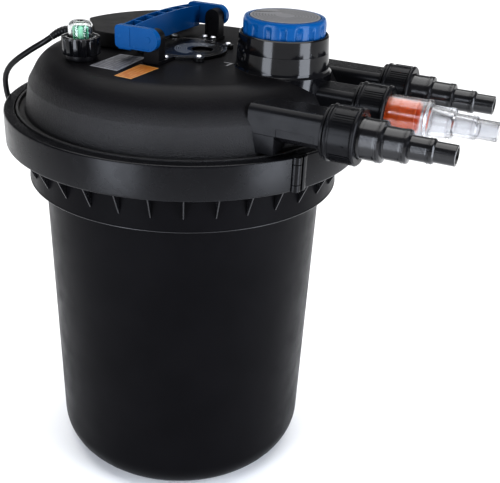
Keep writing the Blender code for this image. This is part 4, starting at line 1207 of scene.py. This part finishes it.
def indicator():
    """Lamp indicator: threaded seat, fluted nut with an open lipped top, clear cap over a green core."""
    at = (INDICATOR.x, INDICATOR.y, 0.0)
    low = LID_TOP + 0.3
    seat = [
        (0.0, low), (15.4, low), (15.4, 486.8), (13.4, 487.5), (13.4, 496.8), (8.2, 496.8), (8.2, 483.2),
        (0.0, 483.2)]
    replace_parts(lathe("indicator_base", eased(seat, 0.4), satin, 64, at), "indicator_seat")
    indicator_nut(at)
    core = [(0.0, 483.5), (7.6, 483.5), (7.6, 511.0), (5.6, 512.3), (0.0, 512.7)]
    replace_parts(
        lathe("indicator_light", eased(core, 0.4), green_core(), 48, at),
        "indicator_core")
    dome = [(10.2, 497.4), (14.1, 497.4), (14.1, 499.2), (12.0, 499.2), (12.0, 509.5)]
    dome += arc(7.4, 511.8, 4.6, 0, 85, 10) + [(3.0, 516.5), (2.2, 516.0), (0.0, 515.9)]
    inner = [(0.0, 514.6), (6.6, 514.6)] + arc(6.8, 511.3, 3.4, 80, 0, 8) + [(10.2, 509.5)]
    cap = lathe(
        "indicator_cap_clear", inner + dome, clear_plastic("cap_plastic", (0.93, 0.95, 0.95), 0.05), 64, at,
        body="indicator_cap")
    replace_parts(cap, "indicator_dome")


def green_core():
    """Green translucent core with paler upright bands."""
    mat, tree, shader, place = fresh_material("core_plastic")
    x, y = xy_from(tree, place, INDICATOR)
    angle = maths(tree, "ARCTAN2", y, x)
    wave = maths(tree, "SINE", times(tree, angle, 5.0))
    coloured(tree, shader, ranged(tree, wave, 0.0, 1.0, -0.4, 0.7), (0.0, 0.20, 0.085), (0.30, 0.78, 0.52))
    dulled(tree, shader, noise(tree, place, 90.0), 0.2, 0.32)
    shader.inputs["Subsurface Weight"].default_value = 0.2
    shader.inputs["Subsurface Scale"].default_value = 0.003
    bumped(tree, shader, noise(tree, place, 900.0, 2.0), 0.00003)
    return mat


def indicator_nut(at):
    low, high, count, points = 485.0, 502.2, 14, 12
    bm = bmesh.new()
    levels = [(low, 0.9), (low + 0.8, 0.1), (499.2, 0.0), (500.4, 0.2), (high - 0.4, 0.2), (high, 0.8)]
    rows = []
    for z, inset in levels:
        depth = 1.7 if z < 499.5 else 0.5
        rows.append([bm.verts.new((p.x, p.y, z)) for p in knob_outline(19.0 - inset, depth, count, points)])
    for radius, z in (
            (14.2, high), (13.4, high - 0.6), (12.5, high - 1.6), (12.5, 499.7), (14.5, 499.5), (14.5, 488.2),
            (16.2, 488.0), (16.2, low)):
        rows.append(ring_of(bm, radius, z, count * points))
    rows.append(rows[0])
    bridge(bm, rows)
    bmesh.ops.translate(bm, vec=(at[0], at[1], 0), verts=bm.verts)
    nut = from_bmesh(bm, "indicator_ring_nut", gloss, "indicator_ring", smooth=50.0)
    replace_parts(nut, "indicator_nut")


# ---------------------------------------------------------------- stickers and inside

LABEL_THICKNESS = 0.12


def sticker(name, corners, colour, border):
    """Blank printed label: a paler border round a field with thin ruled lines."""
    mat, tree, shader, place = fresh_material(f"{name}_print")
    axes = xyz(tree, place)
    across = maths(tree, "ADD", axes["X"], times(tree, axes["Y"], 0.03))
    ruled = maths(tree, "LESS_THAN", maths(tree, "FRACT", maths(tree, "DIVIDE", across, 0.0042)), 0.3)
    tone = ranged(tree, noise(tree, place, 260.0, 5.0), 0.0, 0.35)
    broken = maths(tree, "GREATER_THAN", noise(tree, place, 110.0, 1.0), 0.46)
    mask = maths(tree, "MAXIMUM", times(tree, ruled, broken), tone)
    coloured(tree, shader, mask, colour, border)
    dulled(tree, shader, noise(tree, place, 90.0), 0.40, 0.50)
    bumped(tree, shader, noise(tree, place, 600.0, 3.0), 0.00002)
    edge_mat = moulded(f"{name}_border", border, tuple(1.08 * c for c in border), 0.45)
    prism(f"{name}_sheet", corners, LID_TOP + 0.02, LID_TOP + LABEL_THICKNESS, edge_mat)
    middle_point = sum((Vector(c) for c in corners), Vector((0, 0))) / len(corners)
    inner = [tuple(Vector(c) + (middle_point - Vector(c)).normalized() * 2.6) for c in corners]
    printed_at = LID_TOP + LABEL_THICKNESS
    prism(f"{name}_field", inner, printed_at, printed_at + 0.05, mat)


def stickers():
    sticker(
        "grey_label", [(-46.0, -108.5), (-13.6, -110.0), (-17.9, -51.0), (-46.3, -54.0)],
        (0.060, 0.060, 0.066), (0.150, 0.150, 0.160))
    sticker(
        "orange_label", [(-6.9, -124.9), (12.1, -126.1), (13.8, -78.6), (-8.7, -75.8)], (0.27, 0.082, 0.003),
        (0.36, 0.17, 0.04))


def inside():
    """The pieces that the vessel hides keep their CAD shape and get finished materials."""
    inner = moulded("inner_plastic", (0.085, 0.085, 0.09), (0.11, 0.11, 0.115), 0.5)
    foams = {
        "foam_lower": (0.02, 0.05, 0.16), "foam_middle": (0.025, 0.025, 0.027), "foam_upper": (0.04, 0.11,
        0.07)}
    glass = clear_plastic("quartz", (0.95, 0.97, 1.0), 0.02)
    finishes = {
        "front_duct": inner, "back_duct": inner, "standpipe": inner, "bottom_grid": inner, "top_grid": inner,
        "lamp_holder": inner, "valve_rotor": inner, "lid_gasket": rubber("gasket_rubber"),
        "valve_stem_seal": rubber("stem_seal_rubber"), "clamp_hinge_pin": chrome, "quartz_sleeve": glass,
        "lamp": clear_plastic("lamp_glass", (0.9, 0.93, 1.0), 0.1),
        "ballast_module": moulded("module_case", (0.35, 0.35, 0.36), (0.42, 0.42, 0.43), 0.4),
    }
    for node, colour in foams.items():
        finishes[node] = foam_material(f"{node}_open_cell", colour)
    for node, mat in finishes.items():
        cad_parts[node].data.materials[0] = mat


def foam_material(name, colour):
    mat, tree, shader, place = fresh_material(name)
    pores = cells(tree, place, 380.0)
    # Painted shade: the pore hollows are coloured darker, standing in for the shade inside the pores.
    hollow = ranged(tree, pores, 1.0, 0.0, 0.1, 0.6)
    dark = tuple(0.2 * c for c in colour)
    coloured(tree, shader, hollow, colour, dark)
    shader.inputs["Roughness"].default_value = 0.95
    bumped(tree, shader, pores, 0.0012)
    return mat


bucket()
clamp_ring()
closure()
lid()
centre_cover()
screws()
for post_label, post_side in (("near", -1), ("far", 1)):
    handle_post(post_label, post_side)
    pivot_cap(post_label, post_side)
bail_handle()
valve()
hose_connections()
housing()
cable_gland()
indicator()
stickers()
inside()
